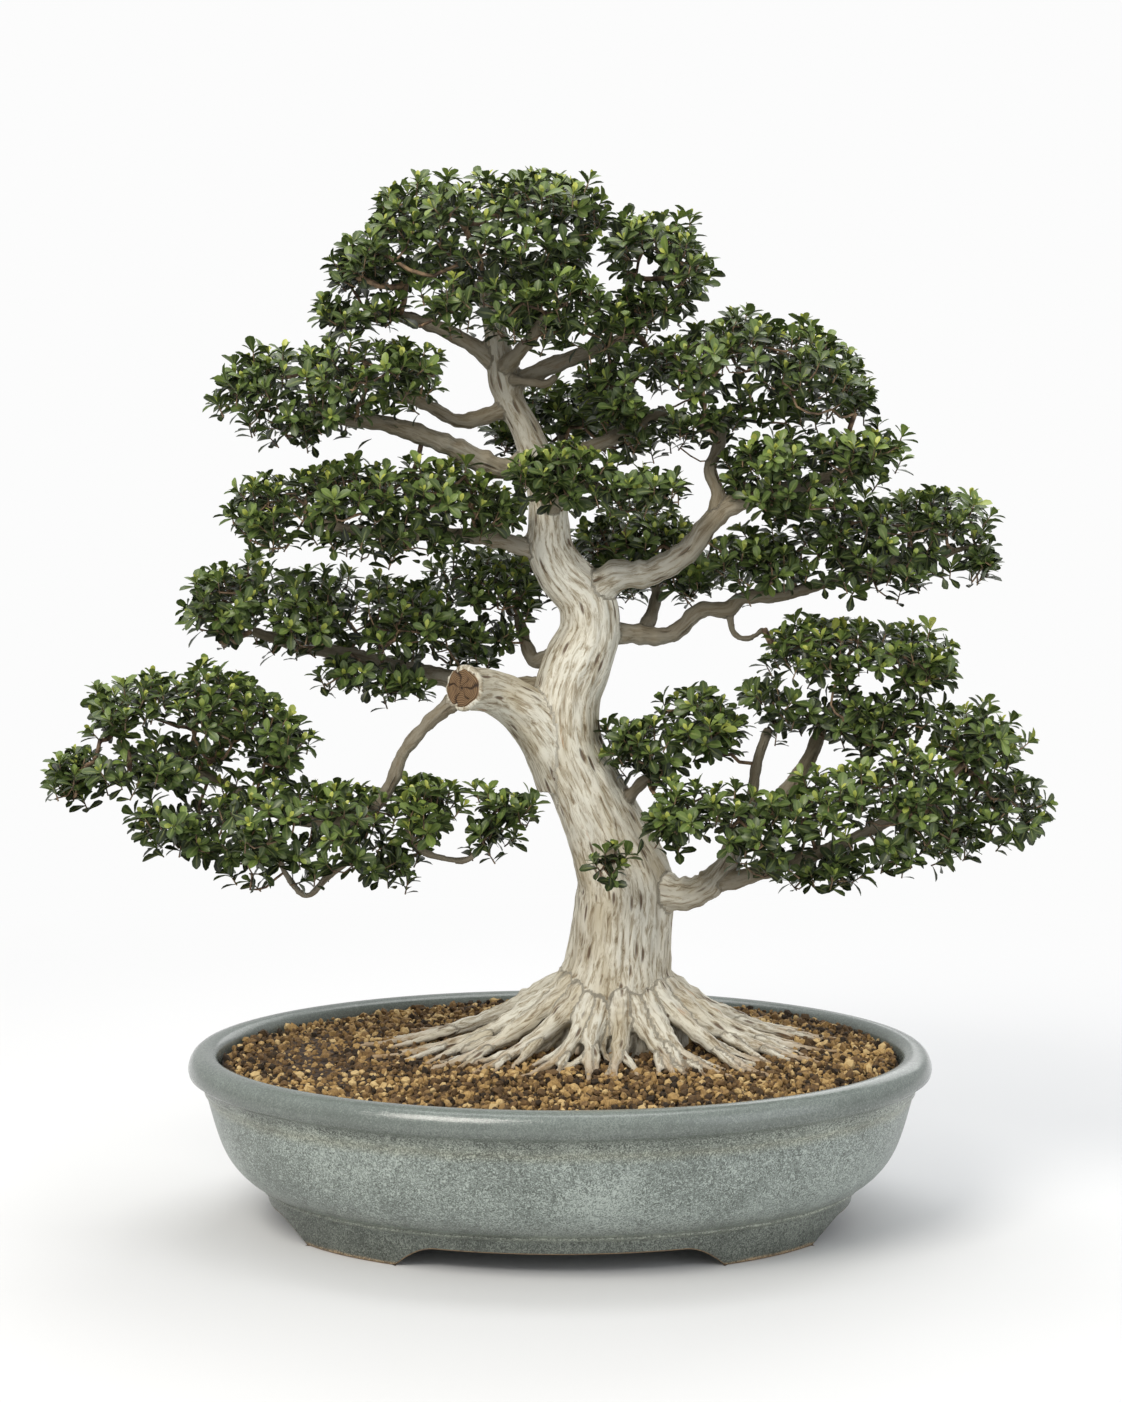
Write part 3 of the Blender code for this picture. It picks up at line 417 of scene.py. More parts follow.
def pale_bark(settings):
    """Smooth old bark: silvery beige, with fine fissures that run along the wood and a few rusty scars."""
    made, tree, shader = new_finish("pale bark", 0.75, 1.45)
    along = add(tree, "Attribute", attribute_name="grain").outputs["Vector"]
    # The grain runs along the limb, so every pattern is drawn out that way
    drawn_out = add(tree, "VectorMath", {0: along, 1: (1.0, 1.0, 0.17)}, operation="MULTIPLY").outputs[0]
    streaks = add(
        tree, "TexNoise", {"Vector": drawn_out, "Scale": 400.0, "Detail": 7.0, "Roughness": 0.68, "Distortion": 0.6}
    )
    patches = add(
        tree,
        "TexNoise",
        {"Vector": add(tree, "VectorMath", {0: along, 1: (1.0, 1.0, 0.4)}, operation="MULTIPLY").outputs[0],
         "Scale": 42.0, "Detail": 3.0},
    )
    base = add(
        tree, "ValToRGB", {"Fac": streaks},
        stops=((0.33, settings.fissure), (0.43, "#b5ab95"), (0.54, settings.bark), (0.72, "#dedacb")),
    )
    silver = add(
        tree, "ValToRGB", {"Fac": patches},
        stops=((0.35, (0.74, 0.69, 0.60)), (0.52, grey(0.97)), (0.7, (0.98, 1.0, 1.03))),
    )
    toned = add(tree, "Mix", {0: 1.0, 6: base, 7: silver}, data_type="RGBA", blend_type="MULTIPLY")
    # Fissures 1 mm wide and some 5 mm long
    flecks = add(tree, "TexVoronoi", {"Vector": drawn_out, "Scale": 240.0, "Randomness": 1.0})
    chosen = add(tree, "SeparateColor", {"Color": flecks.outputs["Color"]})
    few = add(tree, "Math", {0: chosen.outputs["Red"], 1: 0.42}, operation="GREATER_THAN")
    near = add(tree, "MapRange", {"Value": flecks, "From Min": 0.14, "From Max": 0.27, "To Min": 0.9, "To Max": 0.0})
    mark = add(tree, "Math", {0: few, 1: near}, operation="MULTIPLY")
    rust = add(tree, "TexNoise", {"Vector": drawn_out, "Scale": 95.0, "Detail": 4.0, "Roughness": 0.7})
    rusty = add(tree, "MapRange", {"Value": rust, "From Min": 0.66, "From Max": 0.74, "To Min": 0.0, "To Max": 0.6})
    # Over the toned bark: fissures, rusty scars, painted shade in the hollows, thin limbs' darker bark, fresh root
    # tips
    finished = toned
    for share, colour in (
        (mark, "#5f4a36"), (rusty, "#a8743f"), ("hollow_shade", "#6a5944"), ("slender", "#685e4a"), ("tip", "#9b7442")
    ):
        if isinstance(share, str):
            share = add(tree, "Attribute", attribute_name=share).outputs["Fac"]
        finished = add(tree, "Mix", {0: share, 6: finished, 7: colour}, data_type="RGBA")
    deep = add(tree, "Math", {0: mark, 1: -0.8, 2: streaks}, operation="MULTIPLY_ADD")
    relief = add(tree, "Bump", {"Height": deep, "Distance": 1.3 * MM, "Strength": 0.9})
    feed(tree, shader, {"Base Color": finished, "Normal": relief})
    return made


def sawn_heartwood():
    """An old sawn end: brown heartwood with rings half a millimetre apart, with painted shade in its sunken drying
    cracks and pith.
    """
    made, tree, shader = new_finish("weathered heartwood", 0.8)
    polar = add(tree, "Attribute", attribute_name="ring")
    parts = add(tree, "SeparateXYZ", {"Vector": polar.outputs["Vector"]})
    place = add(tree, "TexCoord").outputs["Object"]
    wobble = add(tree, "TexNoise", {"Vector": place, "Scale": 260.0, "Detail": 4.0})
    rings = add(tree, "Math", {0: wobble, 1: 3.4, 2: parts.outputs["X"]}, operation="MULTIPLY_ADD")
    wave = add(tree, "Math", {0: rings}, operation="SINE")
    colour = add(tree, "MapRange", {"Value": wave, "From Min": -1.0, "From Max": 1.0})
    ramp = add(tree, "ValToRGB", {"Fac": colour}, stops=((0.0, "#4a3524"), (0.6, "#6b5439"), (1.0, "#8d6f4c")))
    # Painted shade: the cracks and the pith, sunk into the face, are darkened
    crack_shaded = add(tree, "Mix", {0: parts.outputs["Y"], 6: ramp, 7: "#2a1b11"}, data_type="RGBA")
    feed(tree, shader, {"Base Color": crack_shaded})
    relief = add(tree, "Bump", {"Height": wave, "Distance": 0.2 * MM, "Strength": 0.6})
    feed(tree, shader, {"Normal": relief})
    return made


def young_twig():
    """Twigs of the last few years: thin grey-brown bark, finely speckled."""
    return speckled("twig bark", 0.7, 220.0, 3.0, ((0.35, "#46352a"), (0.5, "#75604a"), (0.68, "#9a7f60")))


def waxy_leaf(settings):
    """Small leathery leaves: a waxy upper skin that glints, a pale midrib, and a tone that goes with the leaf's age
    and with the painted light and shade in its cloud.

    The map's strips are the leaves' tones, each strip runs across a leaf and the map's height runs along it.
    """
    made, tree, shader = new_finish("waxy leaf", 0.4, 1.45)
    spot = add(tree, "SeparateXYZ", {"Vector": add(tree, "UVMap", uv_map=BAKE_MAP).outputs["UV"]})
    strip = add(tree, "Math", {0: spot.outputs["X"], 1: float(LEAF_TONES)}, operation="MULTIPLY")
    age = add(tree, "Math", {0: strip}, operation="FLOOR")
    tone = add(tree, "Math", {0: age, 1: float(LEAF_TONES)}, operation="DIVIDE")
    across = add(tree, "Math", {0: strip}, operation="FRACT")
    colour = add(
        tree, "ValToRGB", {"Fac": tone},
        stops=(
            (0.0, "#1c2413"), (0.25, settings.old), (0.6, settings.ripe), (0.82, "#72863f"), (1.0, settings.young)
        ),
    )
    side = add(tree, "Math", {0: across, 1: 0.5, 2: 0.09}, operation="COMPARE")
    fade = add(
        tree, "MapRange",
        {"Value": spot.outputs["Y"], "From Min": 0.0, "From Max": 0.95, "To Min": 0.55, "To Max": 0.05},
    )
    rib = add(tree, "Math", {0: side, 1: fade}, operation="MULTIPLY")
    ribbed = add(tree, "Mix", {0: rib, 6: colour, 7: "#a3ab6c"}, data_type="RGBA")
    feed(tree, shader, {"Base Color": ribbed})
    return made


def drainage_plastic():
    """Extruded polythene netting, black with a faint sheen."""
    return speckled("polythene netting", 0.5, 400.0, 2.0, ((0.4, "#141414"), (0.7, "#2c2a27")))


def drawn_aluminium():
    """Annealed aluminium training wire: dull silver with fine draw lines."""
    return speckled("drawn aluminium wire", 0.4, 500.0, 3.0, ((0.35, "#a7a39d"), (0.65, "#c9c6c1")), metallic=1.0)


def new_piece(name, points, faces, finish, replaced=(), smooth=True):
    """A mesh piece that rides on the tree's body and stands for some of the frame's solids."""
    mesh = bpy.data.meshes.new(name)
    mesh.from_pydata(points, [], faces)
    if smooth:
        mesh.shade_smooth()
    made = bpy.data.objects.new(name, mesh)
    bpy.context.scene.collection.objects.link(made)
    mesh.materials.append(finish)
    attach(made, "root")
    if replaced:
        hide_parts(*replaced)
    return made


def apply_modifiers(target):
    """Replaces a piece's mesh by what its modifiers make of it."""
    bpy.context.view_layer.update()
    graph = bpy.context.evaluated_depsgraph_get()
    old = target.data
    target.data = bpy.data.meshes.new_from_object(target.evaluated_get(graph))
    target.modifiers.clear()
    target.data.name = target.name
    bpy.data.meshes.remove(old)


def node_finish(node, finish):
    """Gives one of the frame's own solids a finish."""
    node.data.materials.clear()
    node.data.materials.append(finish)


def placed(table):
    """Rows of x, y, z and radius, in metres in the frame."""
    rows = np.array(table, float) * MM
    rows[:, 0] += POT_MIDDLE
    return rows


def smooth_route(rows, spacing):
    """Rows at an even spacing along a Catmull-Rom curve through the given ones, radius included."""
    known = np.vstack((2 * rows[0] - rows[1], rows, 2 * rows[-1] - rows[-2]))
    route = []
    for before, start, end, after in zip(known, known[1:], known[2:], known[3:]):
        steps = max(1, round(np.linalg.norm((end - start)[:3]) / spacing))
        t = (np.arange(steps) / steps)[:, None]
        route.append(
            0.5 * (
                2 * start + (end - before) * t + (
                    2 * before - 5 * start + 4 * end - after
                ) * t**2 + (3 * start - before - 3 * end + after) * t**3
            )
        )
    route.append(rows[-1:])
    return np.vstack(route)


def route_frames(route):
    """Directions along and across a route, turned as little as can be from one row to the next."""
    along = np.gradient(route[:, :3], axis=0)
    along /= np.linalg.norm(along, axis=1)[:, None]
    across = np.empty_like(along)
    side = np.array(Vector(along[0]).orthogonal().normalized())
    for i, ahead in enumerate(along):
        side = side - ahead * side.dot(ahead)
        side /= np.linalg.norm(side)
        across[i] = side
    return along, across, np.cross(along, across)


def tube(route, sides, closed=True):
    """Points and faces of a round tube along a route."""
    along, across, other = route_frames(route)
    turn = np.arange(sides) * 2 * np.pi / sides
    spokes = across[:, None] * np.cos(turn)[:, None] + other[:, None] * np.sin(turn)[:, None]
    points = (route[:, None, :3] + spokes * route[:, 3][:, None, None]).reshape(-1, 3)
    row = np.arange(len(route) - 1)[:, None] * sides
    k = np.arange(sides)
    n = (k + 1) % sides
    quads = np.stack((row + k, row + n, row + sides + n, row + sides + k), axis=2).reshape(-1, 4).tolist()
    if closed:
        quads.append(list(range(sides))[::-1])
        quads.append(list(range(len(points) - sides, len(points))))
    return points, quads


def ring_faces(rings, sides):
    """Quads from each ring of points to the next."""
    faces = []
    for i in range(rings - 1):
        for k in range(sides):
            n = (k + 1) % sides
            faces.append((i * sides + k, i * sides + n, (i + 1) * sides + n, (i + 1) * sides + k))
    return faces


def joined(parts):
    """Several lots of points and faces as one."""
    points, faces, first = [], [], 0
    for some, quads in parts:
        points.append(some)
        faces += [[i + first for i in face] for face in quads]
        first += len(some)
    return np.vstack(points), faces


def soil_level(x, y):
    """The soil bed's height at a place, mounded towards the trunk."""
    out = math.hypot(x - POT_MIDDLE - TREE_FOOT.x * MM, y - TREE_FOOT.y * MM) / (SOIL_REACH * MM)
    return SOIL_EDGE + SOIL_MOUND * max(0.0, 1 - out * out)


def mound_at(out):
    """The soil's height in millimetres, this many millimetres from the trunk's axis."""
    return TREE_FOOT.z + SOIL_MOUND / MM * (1 - (out / SOIL_REACH) ** 2)


def root_rows(number, bearing, length, radius, start=ROOT_START, lift=1.0, point=1.5):
    """A root from the trunk's foot down to the soil, where it runs out in a point."""
    turn = math.radians(bearing)
    rows = []
    for step in range(ROOT_STEPS):
        t = step / (ROOT_STEPS - 1)
        out = start + (length - start) * t
        sway = ROOT_SWAY * t * math.sin(2.3 * number + 4.2 * t)
        x = TREE_FOOT.x + out * math.cos(turn) - sway * math.sin(turn)
        y = TREE_FOOT.y + out * math.sin(turn) + sway * math.cos(turn)
        rise = ROOT_RISE * lift * (1 - t) ** 2.3 + 3.2 - 1.2 * t
        knuckle = 1 + 0.09 * math.sin(17 * t + 1.9 * number)
        rows.append((x, y, mound_at(out) + rise, (point + (0.86 * radius - point) * (1 - t) ** 1.35) * knuckle))
    return rows


def all_roots():
    """The main roots, the forks that leave them and the thin roots between them."""
    rows = []
    for number, (bearing, length, radius) in enumerate(ROOTS):
        main = root_rows(number, bearing, length + ROOT_OVERRUN, radius)
        rows.append(main)
        for fork, (share, swing, reach) in enumerate(FORKS):
            begin = main[share]
            turn = math.radians(bearing + swing * (1 if number % 2 else -1))
            girth = begin[3] * 0.72
            fork_rows = []
            for step in range(FORK_STEPS):
                t = step / (FORK_STEPS - 1)
                out = length * reach * t
                bow = 2.5 * math.sin(3 * t + number + fork)
                x = begin[0] + out * math.cos(turn) - bow * math.sin(turn) * t
                y = begin[1] + out * math.sin(turn) + bow * math.cos(turn) * t
                level = mound_at(math.hypot(x - TREE_FOOT.x, y - TREE_FOOT.y))
                z = begin[2] + (level + 1.6 - begin[2]) * t**0.7
                fork_rows.append((x, y, z, FORK_POINT + (girth - FORK_POINT) * (1 - t) ** 0.8))
            rows.append(fork_rows)
    for number in range(THIN_ROOTS):
        bearing = -170 + 360 * number / THIN_ROOTS + 7 * math.sin(5 * number)
        length = 62 + 14 * math.sin(3.7 * number)
        rows.append(root_rows(number + 0.5, bearing, length, 4.0, start=36, lift=0.42, point=FORK_POINT))
    return rows


def wood_routes():
    """Every stretch of wood: its kind, its rows and the number of sides that its tube gets."""
    routes = [(OF_TRUNK, smooth_route(placed(TRUNK), 4 * MM), 44)]
    routes.append((OF_STUB, smooth_route(placed(SAWN_STUB), 4 * MM), 28))
    for rows in LIMBS + SPURS:
        routes.append((OF_LIMB, smooth_route(placed(rows), 3 * MM), 14))
    for rows in all_roots():
        routes.append((OF_ROOT, smooth_route(placed(rows), 3 * MM), 12))
    return routes


def noise_at(points):
    """Perlin noise from -1 to 1 at each point."""
    return np.array([noise.noise(p) for p in points])


def noise_along(across, aside, along):
    """Noise in a limb's own directions, each already divided by the size of the pattern that way."""
    return noise_at(np.stack((across, aside, along), axis=1))


def nearest_wood(points, routes):
    """For each point, the row of wood whose skin is nearest, among all routes."""
    rows = np.vstack([route for _, route, _ in routes])
    trunk_rows = len(routes[OF_TRUNK][1])
    trunk, others = KDTree(trunk_rows), KDTree(len(rows) - trunk_rows)
    for i, row in enumerate(rows):
        (trunk if i < trunk_rows else others).insert(row[:3], i)
    trunk.balance()
    others.balance()
    picked = np.empty(len(points), int)
    for i, point in enumerate(points):
        near = trunk.find_n(point, 3) + others.find_n(point, 8)
        picked[i] = min(near, key=lambda got: got[2] - rows[got[1]][3])[1]
    return picked, rows


def put_attribute(mesh, name, values, kind="FLOAT"):
    """A value for each point, which the finishes read by name."""
    field = mesh.attributes.new(name, kind, "POINT")
    field.data.foreach_set("vector" if kind == "FLOAT_VECTOR" else "value", np.asarray(values, np.float32).ravel())


def grow_wood(settings):
    """Trunk, roots and limbs melted into one skin, then fluted, fissured and knuckled along each limb."""
    routes = wood_routes()
    points, faces = joined([tube(route, sides) for _, route, sides in routes])
    wood = new_piece("grown_wood", points, faces, pale_bark(settings), ("tree_wood",))
    melt = wood.modifiers.new("melt", "REMESH")
    melt.mode = "VOXEL"
    melt.voxel_size = settings.fineness
    soften = wood.modifiers.new("soften", "SMOOTH")
    soften.factor = 0.5
    soften.iterations = 1
    apply_modifiers(wood)
    mesh = wood.data
    mesh.shade_smooth()

    skin = np.empty(len(mesh.vertices) * 3)
    mesh.vertices.foreach_get("co", skin)
    skin = skin.reshape(-1, 3)
    out = np.empty(len(skin) * 3)
    mesh.vertex_normals.foreach_get("vector", out)
    out = out.reshape(-1, 3)
    picked, rows = nearest_wood(skin, routes)
    lengths, frames, kinds, ends = [], [], [], []
    for number, (kind, route, _) in enumerate(routes):
        along, across, other = route_frames(route)
        step = np.linalg.norm(np.diff(route[:, :3], axis=0), axis=1)
        far = np.concatenate(([0.0], np.cumsum(step)))
        lengths.append(far + 0.37 * number)
        frames.append(np.stack((along, across, other), axis=1))
        kinds += [kind] * len(route)
        ends.append(far / far[-1])
    lengths, ends, kinds = np.concatenate(lengths), np.concatenate(ends), np.array(kinds)
    frames = np.vstack(frames)[picked]
    away = skin - rows[picked, :3]
    girth = rows[picked, 3]
    along = lengths[picked] + np.einsum("ij,ij->i", away, frames[:, 0])
    u = np.einsum("ij,ij->i", away, frames[:, 1])
    v = np.einsum("ij,ij->i", away, frames[:, 2])
    reach = np.maximum(np.hypot(u, v), 1e-6)
    kind = kinds[picked]
    thick = np.clip(girth / (20 * MM), 0, 1)

    # Sinews: broad flutes that wander round the limb as they run along it
    sinews = noise_along(u / reach * 1.5, v / reach * 1.5, along * 8.5)
    cords = noise_along(u / reach * 3.4, v / reach * 3.4, along * 15)
    fissures = noise_along(u / (3.2 * MM), v / (3.2 * MM), along / (19 * MM))
    lumps = noise_at(skin / (9 * MM))
    rings = noise_along(u / (30 * MM), v / (30 * MM), along / (5.5 * MM))
    fluted = (0.085 * sinews + 0.05 * cords) * girth * np.where(kind == OF_ROOT, 0.6, 1.0)
    knuckled = np.where(kind >= OF_LIMB, 0.2 * lumps + 0.2 * rings, 0.03 * lumps) * girth
    pitted = (0.1 * MM + 0.45 * MM * thick) * fissures
    lift = fluted + knuckled + pitted
    # Folds where the roots leave the trunk
    height = skin[:, 2] / MM
    front = np.exp(-(((skin[:, 0] - POT_MIDDLE) / MM - 42) / 20) ** 2) * (skin[:, 1] < TREE_FOOT.y * MM)
    folds = np.zeros(len(skin))
    for level, slope in ((139, 0.10), (134, -0.06), (130, 0.05)):
        line = level + slope * ((skin[:, 0] - POT_MIDDLE) / MM - 42) + 2.5 * lumps
        folds += np.exp(-(((height - line) / 1.1) ** 2))
    folds *= front * (kind != OF_LIMB)
    lift -= 0.5 * MM * folds

    # The stub is sawn square, and its bark rolls over the cut
    stub = routes[OF_STUB][1]
    centre, facing = stub[-1, :3], stub[-1, :3] - stub[-3, :3]
    facing /= np.linalg.norm(facing)
    from_cut = (skin - centre) @ facing
    spread = np.linalg.norm(skin - centre - from_cut[:, None] * facing, axis=1)
    near_cut = (np.abs(from_cut) < 5 * MM) & (spread < 17 * MM)
    rolled = np.exp(-((from_cut + 1.2 * MM) / (2.2 * MM)) ** 2) * (spread > 9.5 * MM) * near_cut
    lift += rolled * (1.1 * MM + 0.5 * MM * lumps)
    lift -= 2.2 * MM * ((np.abs(from_cut) < 3 * MM) & (spread < 9.5 * MM))
    skin = skin + out * lift[:, None]
    mesh.vertices.foreach_set("co", skin.ravel())

    # Painted shade: how far the bark is darkened in its pits, between its cords and in the folds where the roots
    # leave
    hollow_shade = np.clip(-1.1 * fissures - 0.25, 0, 1) * 0.5 + np.clip(-0.9 * cords - 0.15, 0, 1) * 0.35 + 0.2 * folds
    put_attribute(mesh, "grain", np.stack((u, v, along), axis=1), "FLOAT_VECTOR")
    put_attribute(mesh, "hollow_shade", np.clip(hollow_shade, 0, 0.85))
    slender = np.where(kind == OF_LIMB, np.clip(1.35 - girth / (9 * MM), 0, 1), 0.0)
    slender += np.clip((height - 440) / 120, 0, 0.5) * (kind == OF_TRUNK)
    put_attribute(mesh, "slender", np.clip(slender, 0, 0.85))
    tip = np.where(kind == OF_ROOT, np.clip(ends[picked] * 2.2 - 1.3, 0, 1), 0.0)
    put_attribute(mesh, "tip", np.clip(tip * 0.75, 0, 0.75))
    mesh.update()
    return centre, facing


def saw_cut(centre, facing):
    """The stub's sawn face: rings, a pith and drying cracks that run out from it."""
    normal = Vector(facing)
    side = normal.orthogonal().normalized()
    other = normal.cross(side)
    cracks = (
        (0.4, 0.09, 1.0), (1.5, 0.07, 0.8), (2.5, 0.11, 1.0), (3.35, 0.06, 0.7), (4.3, 0.13, 1.0), (5.3, 0.08, 0.9)
    )
    reach, steps, sides = 11.5 * MM, 22, 96
    points, ring_values = [], []
    for i in range(steps + 1):
        share = i / steps
        for k in range(sides):
            turn = 2 * math.pi * k / sides
            wobble = 1 + 0.045 * math.sin(3 * turn + 0.8) + 0.03 * math.sin(7 * turn)
            rho = reach * share * wobble
            depth = 0.0
            for at, width, long in cracks:
                bend = at + 0.12 * math.sin(9 * share)
                off = abs((turn - bend + math.pi) % (2 * math.pi) - math.pi)
                gap = width * (0.25 + share)
                depth = max(depth, math.exp(-((off / gap) ** 2)) * min(1.0, 5 * share) * (share < long))
            pith = math.exp(-((share / 0.1) ** 2))
            sink = 1.3 * MM * depth + 0.8 * MM * pith + 0.18 * MM * math.sin(
                2 * math.pi * share * 9 + math.sin(3 * turn)
            )
            edge = 1.2 * MM * max(0.0, share - 0.9) * 10
            spot = Vector(centre) + normal * (1.9 * MM - sink - edge) + (
                side * math.cos(turn) + other * math.sin(turn)
            ) * rho
            points.append(spot)
            # The second value marks the sunken cracks and pith, which get painted shade
            ring_values.append((share * 2 * math.pi * 11, min(1.0, depth + pith), 0.0))
    cut = new_piece("sawn_end", points, ring_faces(steps + 1, sides), sawn_heartwood())
    put_attribute(cut.data, "ring", ring_values, "FLOAT_VECTOR")
    shape = bmesh.new()
    shape.from_mesh(cut.data)
    bmesh.ops.remove_doubles(shape, verts=shape.verts, dist=0.02 * MM)
    bmesh.ops.recalc_face_normals(shape, faces=shape.faces)
    shape.to_mesh(cut.data)
    shape.free()


def wall_inset(share):
    """How far in the outer wall is, a share of the way from the line under the rim to the base line."""
    return RIM_FLARE + BODY_TUCK * (WALL_LEAN * share + (1 - WALL_LEAN) * share**4.5)


def pot_section():
    """The pot's section from under its floor, up the outside, over the rim and down inside: inset and height."""
    foot_outside = BASE_INSET + SKIRT_STEP
    foot_bottom = foot_outside + FOOT_TUCK
    feet = [(foot_bottom + FOOT_WIDTH - 2 * MM, FOOT_HEIGHT), (foot_bottom + FOOT_WIDTH, 0.0), (foot_bottom, 0.0)]
    for share in (0.12, 0.3, 0.5, 0.7, 0.86, 1.0):
        curve = (1 - share) ** 1.6
        feet.append((foot_outside + FOOT_TUCK * curve, (BASE_LINE - 2.6 * MM) * share))
    bead = [(BASE_INSET + 0.4 * MM, BASE_LINE - 1.6 * MM), (BASE_INSET - 1.2 * MM, BASE_LINE - 0.6 * MM)]
    bead += [(BASE_INSET - 1.5 * MM, BASE_LINE + 0.4 * MM), (BASE_INSET - 0.2 * MM, BASE_LINE + 1.4 * MM)]
    wall = []
    for step in range(16):
        share = 0.95 * (1 - step / 15) + 0.05
        wall.append((wall_inset(share), BODY_TOP + (BASE_LINE - BODY_TOP) * share))
    rim = [
        (RIM_FLARE - 0.2 * MM, RIM_DROP - 0.8 * MM), (RIM_FLARE - 1.7 * MM, RIM_DROP - 1.8 * MM),
        (RIM_FLARE - 1.2 * MM, RIM_DROP - 3.2 * MM), (RIM_FLARE - 2.3 * MM, RIM_DROP - 4.8 * MM),
        (RIM_FLARE - 2.2 * MM, RIM_DROP - 7 * MM), (RIM_FLARE * 0.66, RIM_DROP - 8.8 * MM),
        (RIM_FLARE * 0.44, RIM_DROP - 10.2 * MM), (RIM_FLARE * 0.2, RIM_DROP - 11.6 * MM),
        (RIM_FLARE * 0.05, RIM_DROP - 12.8 * MM), (0.0, 10.5 * MM), (0.35 * MM, 8 * MM), (1.2 * MM, 5.4 * MM),
        (2.8 * MM, 2.8 * MM), (5.2 * MM, 0.9 * MM), (RIM_WIDTH * 0.5, 0.1 * MM), (RIM_WIDTH * 0.7, 0.2 * MM),
        (RIM_WIDTH * 0.87, 1.1 * MM), (RIM_WIDTH * 0.98, 2.8 * MM), (RIM_WIDTH + 0.8 * MM, 5 * MM),
        (RIM_WIDTH + 1.5 * MM, 9 * MM), (RIM_WIDTH + 2 * MM, 14 * MM),
    ]
    inside = []
    for share in (0.1, 0.25, 0.4, 0.55, 0.7, 0.8, 0.9, 0.97):
        height = max(BODY_TOP + (BASE_LINE - BODY_TOP) * share, FOOT_HEIGHT + POT_FLOOR + 1.2 * MM)
        inside.append((wall_inset(share) + POT_WALL, height))
    inside.append((BASE_INSET + POT_WALL + 4 * MM, FOOT_HEIGHT + POT_FLOOR))
    return feet + bead + wall + [(inset, POT_HEIGHT - drop) for inset, drop in rim] + inside


def hidden_cutter(name, shape):
    """A shape that is cut out of the pot and then thrown away."""
    bmesh.ops.recalc_face_normals(shape, faces=shape.faces)
    mesh = bpy.data.meshes.new(name)
    shape.to_mesh(mesh)
    shape.free()
    made = bpy.data.objects.new(name, mesh)
    bpy.context.scene.collection.objects.link(made)
    return made


def throw_pot(settings):
    """The pot, lofted through fine ovals, cut up between its feet and drilled, its fired edges rounded."""
    section = pot_section()
    points = []
    turn = np.arange(POT_SIDES) * 2 * np.pi / POT_SIDES
    for inset, z in section:
        x = POT_MIDDLE + (POT_HALF_LENGTH - inset) * np.cos(turn)
        y = (POT_HALF_DEPTH - inset) * np.sin(turn)
        points.append(np.stack((x, y, np.full(POT_SIDES, z)), axis=1))
    faces = ring_faces(len(section), POT_SIDES)
    faces.append(list(range(POT_SIDES))[::-1])
    last = (len(section) - 1) * POT_SIDES
    faces.append(list(range(last, last + POT_SIDES)))
    finish = glazed_stoneware(settings)
    pot = new_piece("thrown_pot", np.vstack(points), faces, finish, ("pot",))
    pot.data.materials.append(bare_stoneware())

    cutters = []
    for name, gap, turned in (("front_gap", FRONT_GAP, 0.0), ("side_gap", SIDE_GAP, math.pi / 2)):
        half, top = gap / 2, FOOT_HEIGHT - 1.4 * MM
        outline = [(half + 1 * MM, -5 * MM), (half, 0.6 * MM)]
        for step in range(1, 15):
            share = step / 14
            rise = 1 - (1 - share) ** 1.9
            outline.append((half - GAP_SLOPE * share, 0.6 * MM + (top - 0.6 * MM) * rise))
        outline += [(-x, z) for x, z in outline[::-1]]
        shape = bmesh.new()
        far = 2 * POT_HALF_LENGTH
        face = shape.faces.new([shape.verts.new((x, -far, z)) for x, z in outline])
        grown = bmesh.ops.extrude_face_region(shape, geom=[face])["geom"]
        moved = [v for v in grown if isinstance(v, bmesh.types.BMVert)]
        bmesh.ops.translate(shape, verts=moved, vec=(0, 2 * far, 0))
        bmesh.ops.rotate(shape, verts=shape.verts, cent=(0, 0, 0), matrix=Matrix.Rotation(turned, 3, "Z"))
        bmesh.ops.translate(shape, verts=shape.verts, vec=(POT_MIDDLE, 0, 0))
        cutters.append(hidden_cutter(name, shape))
    for name, x, y, radius in (
        ("drain_left", -DRAIN_SPREAD, 0.0, DRAIN_RADIUS), ("drain_right", DRAIN_SPREAD, 0.0, DRAIN_RADIUS),
        ("tie_left", TIE_HOLES[0], TIE_BACK, TIE_RADIUS), ("tie_right", TIE_HOLES[1], TIE_BACK, TIE_RADIUS),
    ):
        shape = bmesh.new()
        bmesh.ops.create_cone(shape, cap_ends=True, segments=40, radius1=radius, radius2=radius, depth=4 * POT_FLOOR)
        bmesh.ops.translate(shape, verts=shape.verts, vec=(POT_MIDDLE + x, y, FOOT_HEIGHT + POT_FLOOR / 2))
        cutters.append(hidden_cutter(name, shape))
    for cutter in cutters:
        cut = pot.modifiers.new("cut_" + cutter.name, "BOOLEAN")
        cut.operation = "DIFFERENCE"
        cut.solver = "EXACT"
        cut.object = cutter
    rounded = pot.modifiers.new("rounded", "BEVEL")
    rounded.width = FIRED_EDGE
    rounded.use_clamp_overlap = False
    rounded.segments = 2
    rounded.limit_method = "ANGLE"
    rounded.angle_limit = math.radians(48)
    rounded.material = 1
    apply_modifiers(pot)
    for cutter in cutters:
        bpy.data.objects.remove(cutter)
    for face in pot.data.polygons:
        if face.center.z > FOOT_HEIGHT:
            face.material_index = 0
    pot.data.shade_smooth()
    pot.data.set_sharp_from_angle(angle=math.radians(50))


